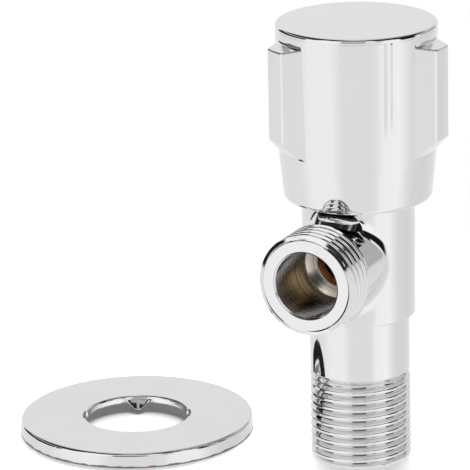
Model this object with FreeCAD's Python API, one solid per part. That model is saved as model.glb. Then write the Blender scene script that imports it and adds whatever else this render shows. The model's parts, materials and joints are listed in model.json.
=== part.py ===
import FreeCAD, Part
import math
import os
from collections import namedtuple
from FreeCAD import Placement, Rotation, Vector

"""Quarter-turn angle stop valve with a ceramic-disc headwork and its loose wall cover ring.

Millimetres, +Z up. The origin is the middle of the inlet's end face, the inlet runs up along Z and the
outlet points along -Y. The valve is modelled closed; the handle turns 90 degrees about Z to open it.
"""

# ---------------------------------------------------------------- driving dimensions
Thread = namedtuple("Thread", "major_radius pitch depth half_angle")
PIPE_THREAD = Thread(20.955 / 2, 1.814, 1.162, 27.5)       # G1/2 on the inlet and the outlet
HEADWORK_THREAD = Thread(16.662 / 2, 1.337, 0.856, 27.5)   # G3/8 between bonnet and body
SCREW_THREAD = Thread(4.0 / 2, 0.7, 0.38, 27.5)            # M4 handle screw
PIPE_THREAD_LEAD = 0.4         # axial length of the lead-in chamfer at the end of a pipe thread
THREAD_PLAY = 0.05             # radial play of a screwed pair
RUNNING_PLAY = 0.05            # radial play of a turning shaft
SLIP_GAP = 0.1                 # gap round a piece that is pushed into a pocket
TURNING_GAP = 0.3              # gap between faces that pass each other without touching

# Body: inlet shank below, round body above, outlet branch to the side
INLET_FACE_BEVEL = 0.6         # how much smaller the end face is than the thread's crests
OUTLET_FACE_BEVEL = 0.91
INLET_THREAD_TURNS = 10
OUTLET_THREAD_TURNS = 5
THREAD_RUN_OUT = 0.66          # plain root left between the inlet thread and the shank
SHANK_RELIEF = 0.1775          # the shank is this much slimmer than the thread's crests
BODY_SHOULDER = 1.26           # step from the shank out to the round body
BODY_EDGE_ROUND = 0.5
OUTLET_Z = 43.73               # height of the outlet's axis over the inlet's end face
OUTLET_REACH = 25.8            # from the valve's axis to the outlet's end face
BODY_DROP = 13.03              # the round body reaches this far below the outlet's axis
BRANCH_RELIEF = 0.215          # the branch's neck is this much slimmer than the thread's roots
BRANCH_FLARE = 4.4             # rounding between the branch and the body
WATERWAY_RADIUS = 6.77
MOUTH_CHAMFER = 0.35
OUTLET_BORE_DEPTH = 14.5
OUTLET_PASSAGE_RADIUS = 4.7
INLET_BORE_STOP = 1.7          # the inlet bore ends this far below the body's shoulder
SEAT_PASSAGE_RADIUS = 4.4
SEAT_DROP = 9.13               # the seat lies this far below the outlet's axis

# Headwork, from the seat upwards
CHAMBER_RELIEF = 0.025         # the chamber is this much narrower than the thread's roots
WATER_GAP = 0.55               # ring of water round the barrel
BARREL_WALL = 1.0
BARREL_LIFT = 0.6              # the barrel stops this far above the seat
SEAL_HEIGHT = 2.2
SEAL_WIDTH = 0.9
SUPPORT_RING_WALL = 0.3
FIXED_DISC_PLAY = 0.1
FIXED_DISC_THICKNESS = 3.0
TURNING_DISC_PLAY = 0.2
TURNING_DISC_THICKNESS = 2.8
DISC_PORT_INNER_RADIUS = 1.5
DISC_PORT_MARGIN = 1.3         # disc left outside its ports
DISC_PORT_ANGLE = 80.0
KEY_WIDTH = 2.4
DRIVE_SLOT_WIDTH = 2.4
DRIVE_SLOT_DEPTH = 1.1
TANG_PLAY = 0.1
TANG_MARGIN = 1.4              # the tang's ends stay this far inside the barrel
TANG_HEIGHT = 3.1
WINDOW_HEIGHT = 5.2
WINDOW_MARGIN = 0.2            # rim left between the windows and what lies above and below
WINDOW_WIDTH_SHARE = 0.68      # of the barrel's diameter
STEM_NECK_RADIUS = 3.0
STEM_FLANGE_PLAY = 0.4
STEM_FLANGE_THICKNESS = 1.6
THRUST_WASHER_THICKNESS = 0.5
STEM_RADIUS = 4.0
O_RING_SECTION_RADIUS = 0.77
O_RING_GROOVE_WIDTH = 1.7
O_RING_RISES = {"lower": 2.9, "upper": 6.1}    # above the barrel's roof
HEADWORK_THREAD_RISE = 0.7     # from the barrel's roof to the first thread
HEADWORK_THREAD_TURNS = 5
BONNET_NECK_HEIGHT = 2.815     # plain neck between the thread and the hexagon
BONNET_O_RING_SECTION_RADIUS = 0.72
HEX_MARGIN = 0.35              # the hexagon's flats reach this far over the O-ring's recess
HEX_HEIGHT = 4.5
HEX_CHAMFER = 0.6
STOP_INNER_RADIUS = 5.4
STOP_OUTER_RADIUS = 6.9
STOP_HEIGHT = 2.2
STOP_TAB_ANGLE = 30.0
STOP_SLACK_ANGLE = 1.0
OPENING_ANGLE = 90.0
STOP_RING_THICKNESS = 1.8
CIRCLIP_THICKNESS = 0.8
CIRCLIP_GROOVE_DEPTH = 0.55
CIRCLIP_WIDTH = 1.55
CIRCLIP_GAP_ANGLE = 70.0

# Splined end of the stem
SPLINE_TEETH = 20
SPLINE_RELIEF = 0.05           # the spline is this much slimmer than the shaft, to pass the bonnet
SPLINE_TOOTH_HEIGHT = 0.4
SPLINE_LENGTH = 12.0           # from the bonnet's top to the stem's top
SCREW_LENGTH = 16.0
TAPPED_HOLE_SPARE = 0.8

# Handle, its fixing and its cap
SKIRT_OVERLAP = 5.0            # how far the skirt reaches down over the body
SKIRT_GAP = 1.74               # between the skirt and the body
SKIRT_WALL = 1.75
SKIRT_EDGE_ROUND = 1.2
SKIRT_LIP_HEIGHT = 3.0
TAPER_HEIGHT = 9.4             # the skirt widens over this height
TAPER_GAIN = 0.95
TAPER_BLEND_RADIUS = 30.0
RIM_GAIN = 0.36                # the wall widens by this much more up to the rim
HANDLE_WALL = 2.7
DECK_THICKNESS = 3.0
DECK_ROUND = 0.5
HUB_WALL = 1.3
HUB_CLEARANCE = 1.0            # between the circlip and the hub
HUB_ROUND = 0.8
CAVITY_ROUND = 1.5
RECESS_DEPTH = 11.0            # from the rim down to the deck
INSERT_WALL = 1.3
INSERT_TOP_GAP = 0.5
LOBE_COUNT = 3
LOBE_FIRST_ANGLE = -3.6
LOBE_REACH = 3.14              # how far the lobes stand out from the rim
LOBE_TIP_HALF_ANGLE = 7.84
LOBE_BASE_HALF_ANGLE = 16.4
LOBE_EDGE_ROUND = 0.8
LOBE_TOP_DROP = 2.7            # the lobes' tops lie this far below the rim
LOBE_FOOT_RISE = 1.1           # the lobes start this far above the taper
LOBE_FOOT_HEIGHT = 3.8         # height of the slope at a lobe's foot
LOBE_TOP_ROUND = 0.35
SEAM_CHAMFER = 0.12
CAP_OVERHANG = 0.02
CAP_THICKNESS = 1.05
CAP_EDGE_ROUND = 0.5
CAP_SKIRT_WALL = 1.1
CAP_SKIRT_HEIGHT = 4.5
SCREW_HEAD_RADIUS = 3.9
SCREW_HEAD_HEIGHT = 2.4
SCREW_HEAD_ROUND = 1.2
SCREW_HOLE_PLAY = 0.2
CROSS_RECESS_WIDTH = 0.9
CROSS_RECESS_LENGTH = 4.0
CROSS_RECESS_DEPTH = 1.5
LOCK_WASHER_THICKNESS = 0.9
LOCK_WASHER_WIDTH = 1.5
LOCK_WASHER_GAP = 0.7

# Cover ring that slides over the shank to hide the wall hole, standing loose beside the valve
COVER_CENTRE = Vector(-49.57, -5.69, 0)
COVER_TURN = 26.5              # about Z, towards the relief notches
COVER_HEIGHT = 3.06
COVER_TOP_RADIUS = 23.84
COVER_FLARE = 0.8              # how much wider the foot is than the top
COVER_SHEET = 0.6
COVER_EDGE_ROUND = 0.9
COVER_HOLE_PLAY = 0.4225       # the hole passes the thread's crests by this much
COVER_LIP_DEPTH = 1.35
COVER_BEND_RADIUS = 0.5
COVER_NOTCH_HALF_ANGLE = 11.5
TONGUE_WIDTH = 5.6
TONGUE_LENGTH = 2.7
TONGUE_TIP_WIDTH = 1.0
TONGUE_TIP_ROUND = 0.4
TONGUE_DROP_ANGLE = 27.5

# ---------------------------------------------------------------- places worked out from the sizes
INLET_FACE_RADIUS = PIPE_THREAD.major_radius - INLET_FACE_BEVEL
OUTLET_FACE_RADIUS = PIPE_THREAD.major_radius - OUTLET_FACE_BEVEL
SHANK_RADIUS = PIPE_THREAD.major_radius - SHANK_RELIEF
BODY_RADIUS = SHANK_RADIUS + BODY_SHOULDER
BRANCH_RADIUS = PIPE_THREAD.major_radius - PIPE_THREAD.depth - BRANCH_RELIEF
BODY_STEP_Z = OUTLET_Z - BODY_DROP
INLET_BORE_DEPTH = BODY_STEP_Z - INLET_BORE_STOP
SEAT_Z = OUTLET_Z - SEAT_DROP
BONNET_NECK_RADIUS = HEADWORK_THREAD.major_radius - HEADWORK_THREAD.depth
CHAMBER_RADIUS = BONNET_NECK_RADIUS - CHAMBER_RELIEF
BARREL_RADIUS = CHAMBER_RADIUS - WATER_GAP
BARREL_INNER_RADIUS = BARREL_RADIUS - BARREL_WALL
BARREL_BOTTOM_Z = SEAT_Z + BARREL_LIFT
FIXED_DISC_RADIUS = BARREL_INNER_RADIUS - FIXED_DISC_PLAY
FIXED_DISC_Z = SEAT_Z + SEAL_HEIGHT
TURNING_DISC_RADIUS = BARREL_INNER_RADIUS - TURNING_DISC_PLAY
TURNING_DISC_Z = FIXED_DISC_Z + FIXED_DISC_THICKNESS
TURNING_DISC_TOP_Z = TURNING_DISC_Z + TURNING_DISC_THICKNESS
DISC_PORT_OUTER_RADIUS = FIXED_DISC_RADIUS - DISC_PORT_MARGIN
TANG_Z = TURNING_DISC_TOP_Z - DRIVE_SLOT_DEPTH
TANG_LENGTH = 2 * (BARREL_INNER_RADIUS - TANG_MARGIN)
WINDOW_Z = TURNING_DISC_TOP_Z + WINDOW_MARGIN
STEM_FLANGE_Z = WINDOW_Z + WINDOW_HEIGHT + WINDOW_MARGIN
STEM_FLANGE_RADIUS = BARREL_INNER_RADIUS - STEM_FLANGE_PLAY
THRUST_WASHER_Z = STEM_FLANGE_Z + STEM_FLANGE_THICKNESS
BARREL_ROOF_Z = THRUST_WASHER_Z + THRUST_WASHER_THICKNESS
HEADWORK_THREAD_Z = BARREL_ROOF_Z + HEADWORK_THREAD_RISE
HEADWORK_THREAD_END_Z = HEADWORK_THREAD_Z + HEADWORK_THREAD_TURNS * HEADWORK_THREAD.pitch
BODY_TOP_Z = HEADWORK_THREAD_END_Z + BONNET_NECK_HEIGHT
BONNET_BORE_RADIUS = STEM_RADIUS + RUNNING_PLAY
O_RING_CENTRE_RADIUS = BONNET_BORE_RADIUS - RUNNING_PLAY / 2 - O_RING_SECTION_RADIUS
BONNET_O_RING_CENTRE_RADIUS = BONNET_NECK_RADIUS + SLIP_GAP + BONNET_O_RING_SECTION_RADIUS
BONNET_O_RING_RECESS_RADIUS = BONNET_O_RING_CENTRE_RADIUS + BONNET_O_RING_SECTION_RADIUS + SLIP_GAP
BONNET_O_RING_RECESS_DEPTH = 2 * BONNET_O_RING_SECTION_RADIUS + SLIP_GAP
HEX_ACROSS_FLATS = 2 * (BONNET_O_RING_RECESS_RADIUS + HEX_MARGIN)
BONNET_TOP_Z = BODY_TOP_Z + HEX_HEIGHT
STOP_RING_Z = BONNET_TOP_Z + TURNING_GAP
CIRCLIP_Z = STOP_RING_Z + STOP_RING_THICKNESS + SLIP_GAP
SPLINE_Z = BONNET_TOP_Z + SLIP_GAP
SPLINE_OUTER_RADIUS = STEM_RADIUS - SPLINE_RELIEF
SPLINE_ROOT_RADIUS = SPLINE_OUTER_RADIUS - SPLINE_TOOTH_HEIGHT
STEM_TOP_Z = BONNET_TOP_Z + SPLINE_LENGTH
HUB_Z = CIRCLIP_Z + CIRCLIP_THICKNESS + HUB_CLEARANCE
INSERT_ACROSS_FLATS = 2 * (SPLINE_OUTER_RADIUS + INSERT_WALL)
HUB_RADIUS = INSERT_ACROSS_FLATS / math.sqrt(3) + HUB_WALL
DECK_TOP_Z = STEM_TOP_Z + DECK_THICKNESS
SCREW_HEAD_Z = DECK_TOP_Z + LOCK_WASHER_THICKNESS
SCREW_TIP_Z = SCREW_HEAD_Z - SCREW_LENGTH
SKIRT_INNER_RADIUS = BODY_RADIUS + SKIRT_GAP
SKIRT_RADIUS = SKIRT_INNER_RADIUS + SKIRT_WALL
SKIRT_Z = BODY_TOP_Z - SKIRT_OVERLAP
TAPER_TOP_Z = SKIRT_Z + TAPER_HEIGHT
TAPER_TOP_RADIUS = SKIRT_RADIUS + TAPER_GAIN
RIM_RADIUS = TAPER_TOP_RADIUS + RIM_GAIN
RIM_Z = DECK_TOP_Z + RECESS_DEPTH
CAVITY_RADIUS = RIM_RADIUS - HANDLE_WALL
LOBE_TIP_RADIUS = RIM_RADIUS + LOBE_REACH
LOBE_TOP_Z = RIM_Z - LOBE_TOP_DROP
LOBE_FOOT_Z = TAPER_TOP_Z + LOBE_FOOT_RISE
CAP_RADIUS = RIM_RADIUS + CAP_OVERHANG
COVER_LIP_RADIUS = PIPE_THREAD.major_radius + COVER_HOLE_PLAY
COVER_FOOT_RADIUS = COVER_TOP_RADIUS + COVER_FLARE

Z_AXIS = Vector(0, 0, 1)
ORIGIN = Vector(0, 0, 0)
SHORTEST_EDGE = 1e-6


# ---------------------------------------------------------------- shape helpers
def rounded_wire(corners):
    """Closed wire through (point, rounding radius) corners; a radius of 0 leaves the corner sharp."""
    edges = []
    starts = []
    ends = []
    mids = []
    for index, (point, radius) in enumerate(corners):
        before = (corners[index - 1][0] - point).normalize()
        after = (corners[(index + 1) % len(corners)][0] - point).normalize()
        if not radius:
            starts.append(point)
            ends.append(point)
            mids.append(None)
            continue
        half = before.getAngle(after) / 2
        run = radius / math.tan(half)
        inward = (before + after).normalize()
        starts.append(point + before * run)
        ends.append(point + after * run)
        mids.append(point + inward * (radius / math.sin(half) - radius))
    for index in range(len(corners)):
        if mids[index]:
            edges.append(Part.Arc(starts[index], mids[index], ends[index]).toShape())
        following = starts[(index + 1) % len(corners)]
        if ends[index].distanceToPoint(following) > SHORTEST_EDGE:
            edges.append(Part.LineSegment(ends[index], following).toShape())
    return Part.Wire(edges)


def turned(outline):
    """Solid of revolution about Z from (radius, z) or (radius, z, rounding) corners."""
    corners = [(Vector(corner[0], 0, corner[1]), corner[2] if len(corner) > 2 else 0) for corner in outline]
    return Part.Face(rounded_wire(corners)).revolve(ORIGIN, Z_AXIS, 360)


def cylinder(radius, bottom, height):
    """Plain round bar about Z."""
    return Part.makeCylinder(radius, height, Vector(0, 0, bottom))


def tube(inner_radius, outer_radius, bottom, height):
    """Plain ring about Z."""
    return cylinder(outer_radius, bottom, height).cut(cylinder(inner_radius, bottom, height))


def torus(centre_radius, section_radius, height):
    """Round-section ring about Z with its middle plane at the given height."""
    return Part.makeTorus(centre_radius, section_radius, Vector(0, 0, height))


def block(width, depth, bottom, height):
    """Box centred on Z."""
    return Part.makeBox(width, depth, height, Vector(-width / 2, -depth / 2, bottom))


def wedge(inner_radius, outer_radius, bottom, height, first_angle, last_angle):
    """Part of a ring about Z, between two angles in degrees."""
    sweep = last_angle - first_angle
    solid = Part.makeCylinder(outer_radius, height, Vector(0, 0, bottom), Z_AXIS, sweep)
    solid.rotate(ORIGIN, Z_AXIS, first_angle)
    return solid.cut(cylinder(inner_radius, bottom, height))


def hexagon(across_flats, bottom, height):
    """Hexagonal prism about Z with flats facing +Y and -Y."""
    radius = across_flats / math.sqrt(3)
    corners = [math.radians(60 * k) for k in range(7)]
    points = [Vector(radius * math.cos(a), radius * math.sin(a), bottom) for a in corners]
    return Part.Face(Part.makePolygon(points)).extrude(Vector(0, 0, height))


def splined_bar(bottom, height, growth=0.0):
    """Toothed bar about Z; growth makes the matching hole."""
    tooth = 2 * math.pi / SPLINE_TEETH
    points = []
    for index in range(SPLINE_TEETH):
        for share, radius in ((-0.36, SPLINE_ROOT_RADIUS), (-0.14, SPLINE_OUTER_RADIUS),
                              (0.14, SPLINE_OUTER_RADIUS), (0.36, SPLINE_ROOT_RADIUS)):
            angle = (index + share) * tooth
            reach = radius + growth
            points.append(Vector(reach * math.cos(angle), reach * math.sin(angle), bottom))
    return Part.Face(Part.makePolygon(points + points[:1])).extrude(Vector(0, 0, height))


def thread_flank(thread):
    """Axial length of one flank of a thread."""
    return thread.depth * math.tan(math.radians(thread.half_angle))


def thread_rings(thread, start, turns, growth=0.0):
    """(radius, along) corners of a run of thread ridges that starts at a root."""
    crest = thread.major_radius + growth
    root = crest - thread.depth
    flank = thread_flank(thread)
    land = thread.pitch / 2 - flank
    corners = []
    for turn in range(turns):
        base = start + turn * thread.pitch
        corners += [(root, base), (crest, base + flank), (crest, base + flank + land),
                    (root, base + 2 * flank + land)]
    return corners


def pipe_thread_end(face_radius, turns):
    """(radius, depth) corners of a threaded pipe end, from its axis on the end face inwards."""
    first_root = PIPE_THREAD_LEAD - thread_flank(PIPE_THREAD)
    return [(0, 0), (face_radius, 0)] + thread_rings(PIPE_THREAD, first_root, turns)[1:]


def sideways(solid):
    """Turn a solid made about Z from the valve's axis so that it lies along the outlet."""
    solid.Placement = Placement(Vector(0, 0, OUTLET_Z), Rotation(Vector(1, 0, 0), 90))
    return solid


# ---------------------------------------------------------------- body
def make_inlet_shank():
    """Threaded inlet end and the plain shank above it."""
    root = PIPE_THREAD.major_radius - PIPE_THREAD.depth
    outline = pipe_thread_end(INLET_FACE_RADIUS, INLET_THREAD_TURNS)
    shank_z = outline[-1][1] + THREAD_RUN_OUT
    outline += [(root, shank_z), (SHANK_RADIUS, shank_z + (SHANK_RADIUS - root) / 2)]
    outline += [(SHANK_RADIUS, BODY_STEP_Z), (0, BODY_STEP_Z)]
    return turned(outline)


def make_branch():
    """Outlet branch, solid, with its thread; its root lies inside the body."""
    outline = pipe_thread_end(OUTLET_FACE_RADIUS, OUTLET_THREAD_TURNS)
    root, thread_end = outline[-1]
    run_out = thread_end + root - BRANCH_RADIUS
    outline += [(BRANCH_RADIUS, run_out), (BRANCH_RADIUS, OUTLET_REACH), (0, OUTLET_REACH)]
    return sideways(turned([(radius, OUTLET_REACH - depth) for radius, depth in outline]))


def make_flared_body():
    """Round body with the branch flared into it, cut off flat at the step above the shank."""
    foot = BODY_STEP_Z - BRANCH_FLARE
    barrel = cylinder(BODY_RADIUS, foot, BODY_TOP_Z - foot)
    joined = barrel.fuse(make_branch())
    saddle = [edge for edge in joined.Edges if is_saddle(edge)]
    joined = joined.makeFillet(BRANCH_FLARE, saddle)
    slab = 4 * BODY_RADIUS
    joined = joined.cut(block(slab, slab, foot - 1, BODY_STEP_Z - foot + 1))
    round_top = BODY_STEP_Z + BODY_EDGE_ROUND
    rounded_foot = turned([(0, BODY_STEP_Z), (BODY_RADIUS, BODY_STEP_Z, BODY_EDGE_ROUND),
                           (BODY_RADIUS, round_top), (0, round_top)])
    band = cylinder(2 * BODY_RADIUS, BODY_STEP_Z, BODY_EDGE_ROUND)
    return joined.cut(band.cut(rounded_foot))


def is_saddle(edge):
    """Whether an edge is the closed curve along which the branch meets the round body."""
    box = edge.BoundBox
    around_branch = abs(box.ZLength - 2 * BRANCH_RADIUS) < 0.1 and abs(box.XLength - 2 * BRANCH_RADIUS) < 0.1
    return around_branch and box.YMin > -BODY_RADIUS - 0.1


def make_waterway():
    """All that is bored out along Z: inlet bore, seat, chamber, bonnet thread and O-ring recess."""
    mouth = WATERWAY_RADIUS + MOUTH_CHAMFER
    cone = WATERWAY_RADIUS - SEAT_PASSAGE_RADIUS
    outline = [(0, -1), (mouth, -1), (mouth, 0), (WATERWAY_RADIUS, MOUTH_CHAMFER)]
    outline += [(WATERWAY_RADIUS, INLET_BORE_DEPTH), (SEAT_PASSAGE_RADIUS, INLET_BORE_DEPTH + cone)]
    outline += [(SEAT_PASSAGE_RADIUS, SEAT_Z), (CHAMBER_RADIUS, SEAT_Z)]
    outline += [(CHAMBER_RADIUS, HEADWORK_THREAD_Z)]
    outline += thread_rings(HEADWORK_THREAD, HEADWORK_THREAD_Z, HEADWORK_THREAD_TURNS, THREAD_PLAY)
    recess_z = BODY_TOP_Z - BONNET_O_RING_RECESS_DEPTH
    outline += [(BONNET_NECK_RADIUS + THREAD_PLAY, recess_z), (BONNET_O_RING_RECESS_RADIUS, recess_z)]
    outline += [(BONNET_O_RING_RECESS_RADIUS, BODY_TOP_Z + 1), (0, BODY_TOP_Z + 1)]
    return turned(outline)


def make_outlet_bore():
    """Stepped bore through the branch into the chamber."""
    mouth = WATERWAY_RADIUS + MOUTH_CHAMFER
    floor = OUTLET_REACH - OUTLET_BORE_DEPTH
    cone = (WATERWAY_RADIUS - OUTLET_PASSAGE_RADIUS) / 2
    outline = [(0, OUTLET_REACH + 1), (mouth, OUTLET_REACH + 1), (mouth, OUTLET_REACH)]
    outline += [(WATERWAY_RADIUS, OUTLET_REACH - MOUTH_CHAMFER), (WATERWAY_RADIUS, floor)]
    outline += [(OUTLET_PASSAGE_RADIUS, floor - cone), (OUTLET_PASSAGE_RADIUS, 0), (0, 0)]
    return sideways(turned(outline))


def make_valve_body():
    """Forged body with both threaded ends."""
    outside = make_inlet_shank().fuse(make_flared_body())
    return outside.cut(make_waterway().fuse(make_outlet_bore())).removeSplitter()


# ---------------------------------------------------------------- headwork
def make_bonnet():
    """Screw-in headwork housing: windowed barrel, thread, hexagon and the shoulders that stop the stem."""
    root = BONNET_NECK_RADIUS
    outline = [(BARREL_INNER_RADIUS, BARREL_BOTTOM_Z), (BARREL_RADIUS, BARREL_BOTTOM_Z)]
    outline += [(BARREL_RADIUS, HEADWORK_THREAD_Z - root + BARREL_RADIUS)]
    outline += thread_rings(HEADWORK_THREAD, HEADWORK_THREAD_Z, HEADWORK_THREAD_TURNS)
    outline += [(root, HEADWORK_THREAD_END_Z), (root, BODY_TOP_Z)]
    outline += [(BONNET_BORE_RADIUS, BODY_TOP_Z), (BONNET_BORE_RADIUS, BARREL_ROOF_Z)]
    outline += [(BARREL_INNER_RADIUS, BARREL_ROOF_Z)]
    bonnet = turned(outline).fuse(make_bonnet_hexagon())
    window_width = WINDOW_WIDTH_SHARE * 2 * BARREL_RADIUS
    bonnet = bonnet.cut(block(window_width, 4 * BARREL_RADIUS, WINDOW_Z, WINDOW_HEIGHT))
    slot_width = KEY_WIDTH + 2 * SLIP_GAP
    slot_height = TURNING_DISC_Z - BARREL_BOTTOM_Z
    bonnet = bonnet.cut(block(4 * BARREL_RADIUS, slot_width, BARREL_BOTTOM_Z, slot_height))
    return bonnet.fuse(make_stop_shoulders()).removeSplitter()


def make_bonnet_hexagon():
    """Spanner hexagon with its corners turned off, bored for the stem."""
    corner = HEX_ACROSS_FLATS / math.sqrt(3)
    chamfered = turned([(0, BODY_TOP_Z), (corner, BODY_TOP_Z), (corner, BONNET_TOP_Z - HEX_CHAMFER),
                        (corner - 2 * HEX_CHAMFER, BONNET_TOP_Z), (0, BONNET_TOP_Z)])
    solid = hexagon(HEX_ACROSS_FLATS, BODY_TOP_Z, HEX_HEIGHT).common(chamfered)
    return solid.cut(cylinder(BONNET_BORE_RADIUS, BODY_TOP_Z, HEX_HEIGHT))


def make_stop_shoulders():
    """Raised arc on the bonnet; its two ends stop the tab of the stop ring."""
    half_tab = STOP_TAB_ANGLE / 2 + STOP_SLACK_ANGLE
    return wedge(STOP_INNER_RADIUS, STOP_OUTER_RADIUS, BONNET_TOP_Z, STOP_HEIGHT,
                 OPENING_ANGLE + half_tab, 360 - half_tab)


def make_bonnet_o_ring():
    """Seal between the bonnet's hexagon and the body."""
    middle = BODY_TOP_Z - SLIP_GAP / 2 - BONNET_O_RING_SECTION_RADIUS
    return torus(BONNET_O_RING_CENTRE_RADIUS, BONNET_O_RING_SECTION_RADIUS, middle)


def make_seat_seal():
    """Rubber ring pressed between the seat and the fixed disc."""
    return tube(FIXED_DISC_RADIUS - SEAL_WIDTH, FIXED_DISC_RADIUS, SEAT_Z, SEAL_HEIGHT)


def make_seal_support_ring():
    """Thin ring that keeps the seat seal from being pushed inwards."""
    outer = FIXED_DISC_RADIUS - SEAL_WIDTH
    return tube(outer - SUPPORT_RING_WALL, outer, SEAT_Z + SLIP_GAP, SEAL_HEIGHT - 2 * SLIP_GAP)


def disc_ports(bottom, height, middle_angle):
    """Two opposite openings of a ceramic disc."""
    half = DISC_PORT_ANGLE / 2
    first = wedge(DISC_PORT_INNER_RADIUS, DISC_PORT_OUTER_RADIUS, bottom, height,
                  middle_angle - half, middle_angle + half)
    second = first.copy()
    second.rotate(ORIGIN, Z_AXIS, 180)
    return first.fuse(second)


def make_fixed_ceramic_disc():
    """Lower disc, keyed into the barrel's slots."""
    disc = cylinder(FIXED_DISC_RADIUS, FIXED_DISC_Z, FIXED_DISC_THICKNESS)
    keys = block(2 * BARREL_RADIUS - 2 * SLIP_GAP, KEY_WIDTH, FIXED_DISC_Z, FIXED_DISC_THICKNESS - SLIP_GAP)
    return disc.fuse(keys).cut(disc_ports(FIXED_DISC_Z, FIXED_DISC_THICKNESS, 90)).removeSplitter()


def make_rotating_ceramic_disc():
    """Upper disc, turned by the stem's tang; closed while its ports stand across the fixed ones."""
    disc = cylinder(TURNING_DISC_RADIUS, TURNING_DISC_Z, TURNING_DISC_THICKNESS)
    disc = disc.cut(disc_ports(TURNING_DISC_Z, TURNING_DISC_THICKNESS, 90 - OPENING_ANGLE))
    return disc.cut(block(DRIVE_SLOT_WIDTH, 4 * TURNING_DISC_RADIUS, TANG_Z, DRIVE_SLOT_DEPTH))


def make_stem():
    """Spindle: drive tang, flange, shaft with two O-ring grooves, spline and tapped top."""
    solid = block(DRIVE_SLOT_WIDTH - 2 * TANG_PLAY, TANG_LENGTH, TANG_Z, TANG_HEIGHT)
    neck_z = TANG_Z + TANG_HEIGHT
    solid = solid.fuse(cylinder(STEM_NECK_RADIUS, neck_z, STEM_FLANGE_Z - neck_z))
    solid = solid.fuse(cylinder(STEM_FLANGE_RADIUS, STEM_FLANGE_Z, STEM_FLANGE_THICKNESS))
    solid = solid.fuse(cylinder(STEM_RADIUS, THRUST_WASHER_Z, SPLINE_Z - THRUST_WASHER_Z))
    solid = solid.fuse(splined_bar(SPLINE_Z, STEM_TOP_Z - SPLINE_Z))
    groove_floor = O_RING_CENTRE_RADIUS - O_RING_SECTION_RADIUS
    for rise in O_RING_RISES.values():
        groove_z = BARREL_ROOF_Z + rise - O_RING_GROOVE_WIDTH / 2
        solid = solid.cut(tube(groove_floor, 2 * STEM_RADIUS, groove_z, O_RING_GROOVE_WIDTH))
    solid = solid.cut(tube(SPLINE_OUTER_RADIUS - CIRCLIP_GROOVE_DEPTH, 2 * STEM_RADIUS,
                           CIRCLIP_Z - SLIP_GAP / 2, CIRCLIP_THICKNESS + SLIP_GAP))
    return solid.cut(make_tapped_hole()).removeSplitter()


def make_tapped_hole():
    """Threaded hole in the stem's top for the handle screw."""
    bottom = SCREW_TIP_Z - TAPPED_HOLE_SPARE
    root = SCREW_THREAD.major_radius + THREAD_PLAY - SCREW_THREAD.depth
    turns = int((STEM_TOP_Z - SCREW_TIP_Z) / SCREW_THREAD.pitch)
    outline = [(0, bottom), (root, bottom)]
    outline += thread_rings(SCREW_THREAD, SCREW_TIP_Z, turns, THREAD_PLAY)
    outline += [(root, STEM_TOP_Z + 1), (0, STEM_TOP_Z + 1)]
    return turned(outline)


def make_stem_o_ring(rise):
    """Seal between the stem and the bonnet's bore, this far above the barrel's roof."""
    return torus(O_RING_CENTRE_RADIUS, O_RING_SECTION_RADIUS, BARREL_ROOF_Z + rise)


def make_thrust_washer():
    """Slippery washer between the stem's flange and the barrel's roof."""
    return tube(STEM_RADIUS + SLIP_GAP, STEM_FLANGE_RADIUS, THRUST_WASHER_Z, THRUST_WASHER_THICKNESS)


def make_stop_ring():
    """Splined ring whose tab meets the bonnet's shoulders at both ends of the quarter turn."""
    ring = cylinder(STOP_INNER_RADIUS - TURNING_GAP, STOP_RING_Z, STOP_RING_THICKNESS)
    tab_inner = SPLINE_OUTER_RADIUS + SLIP_GAP
    tab_outer = STOP_OUTER_RADIUS - SLIP_GAP
    half_tab = STOP_TAB_ANGLE / 2
    tab = wedge(tab_inner, tab_outer, STOP_RING_Z, STOP_RING_THICKNESS, -half_tab, half_tab)
    bore = splined_bar(STOP_RING_Z, STOP_RING_THICKNESS, RUNNING_PLAY)
    return ring.fuse(tab).cut(bore).removeSplitter()


def make_circlip():
    """Open clip in the stem's groove; it holds the stop ring and carries the stem."""
    inner = SPLINE_OUTER_RADIUS - CIRCLIP_GROOVE_DEPTH + RUNNING_PLAY
    half_gap = CIRCLIP_GAP_ANGLE / 2
    return wedge(inner, inner + CIRCLIP_WIDTH, CIRCLIP_Z, CIRCLIP_THICKNESS, half_gap, 360 - half_gap)


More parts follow.
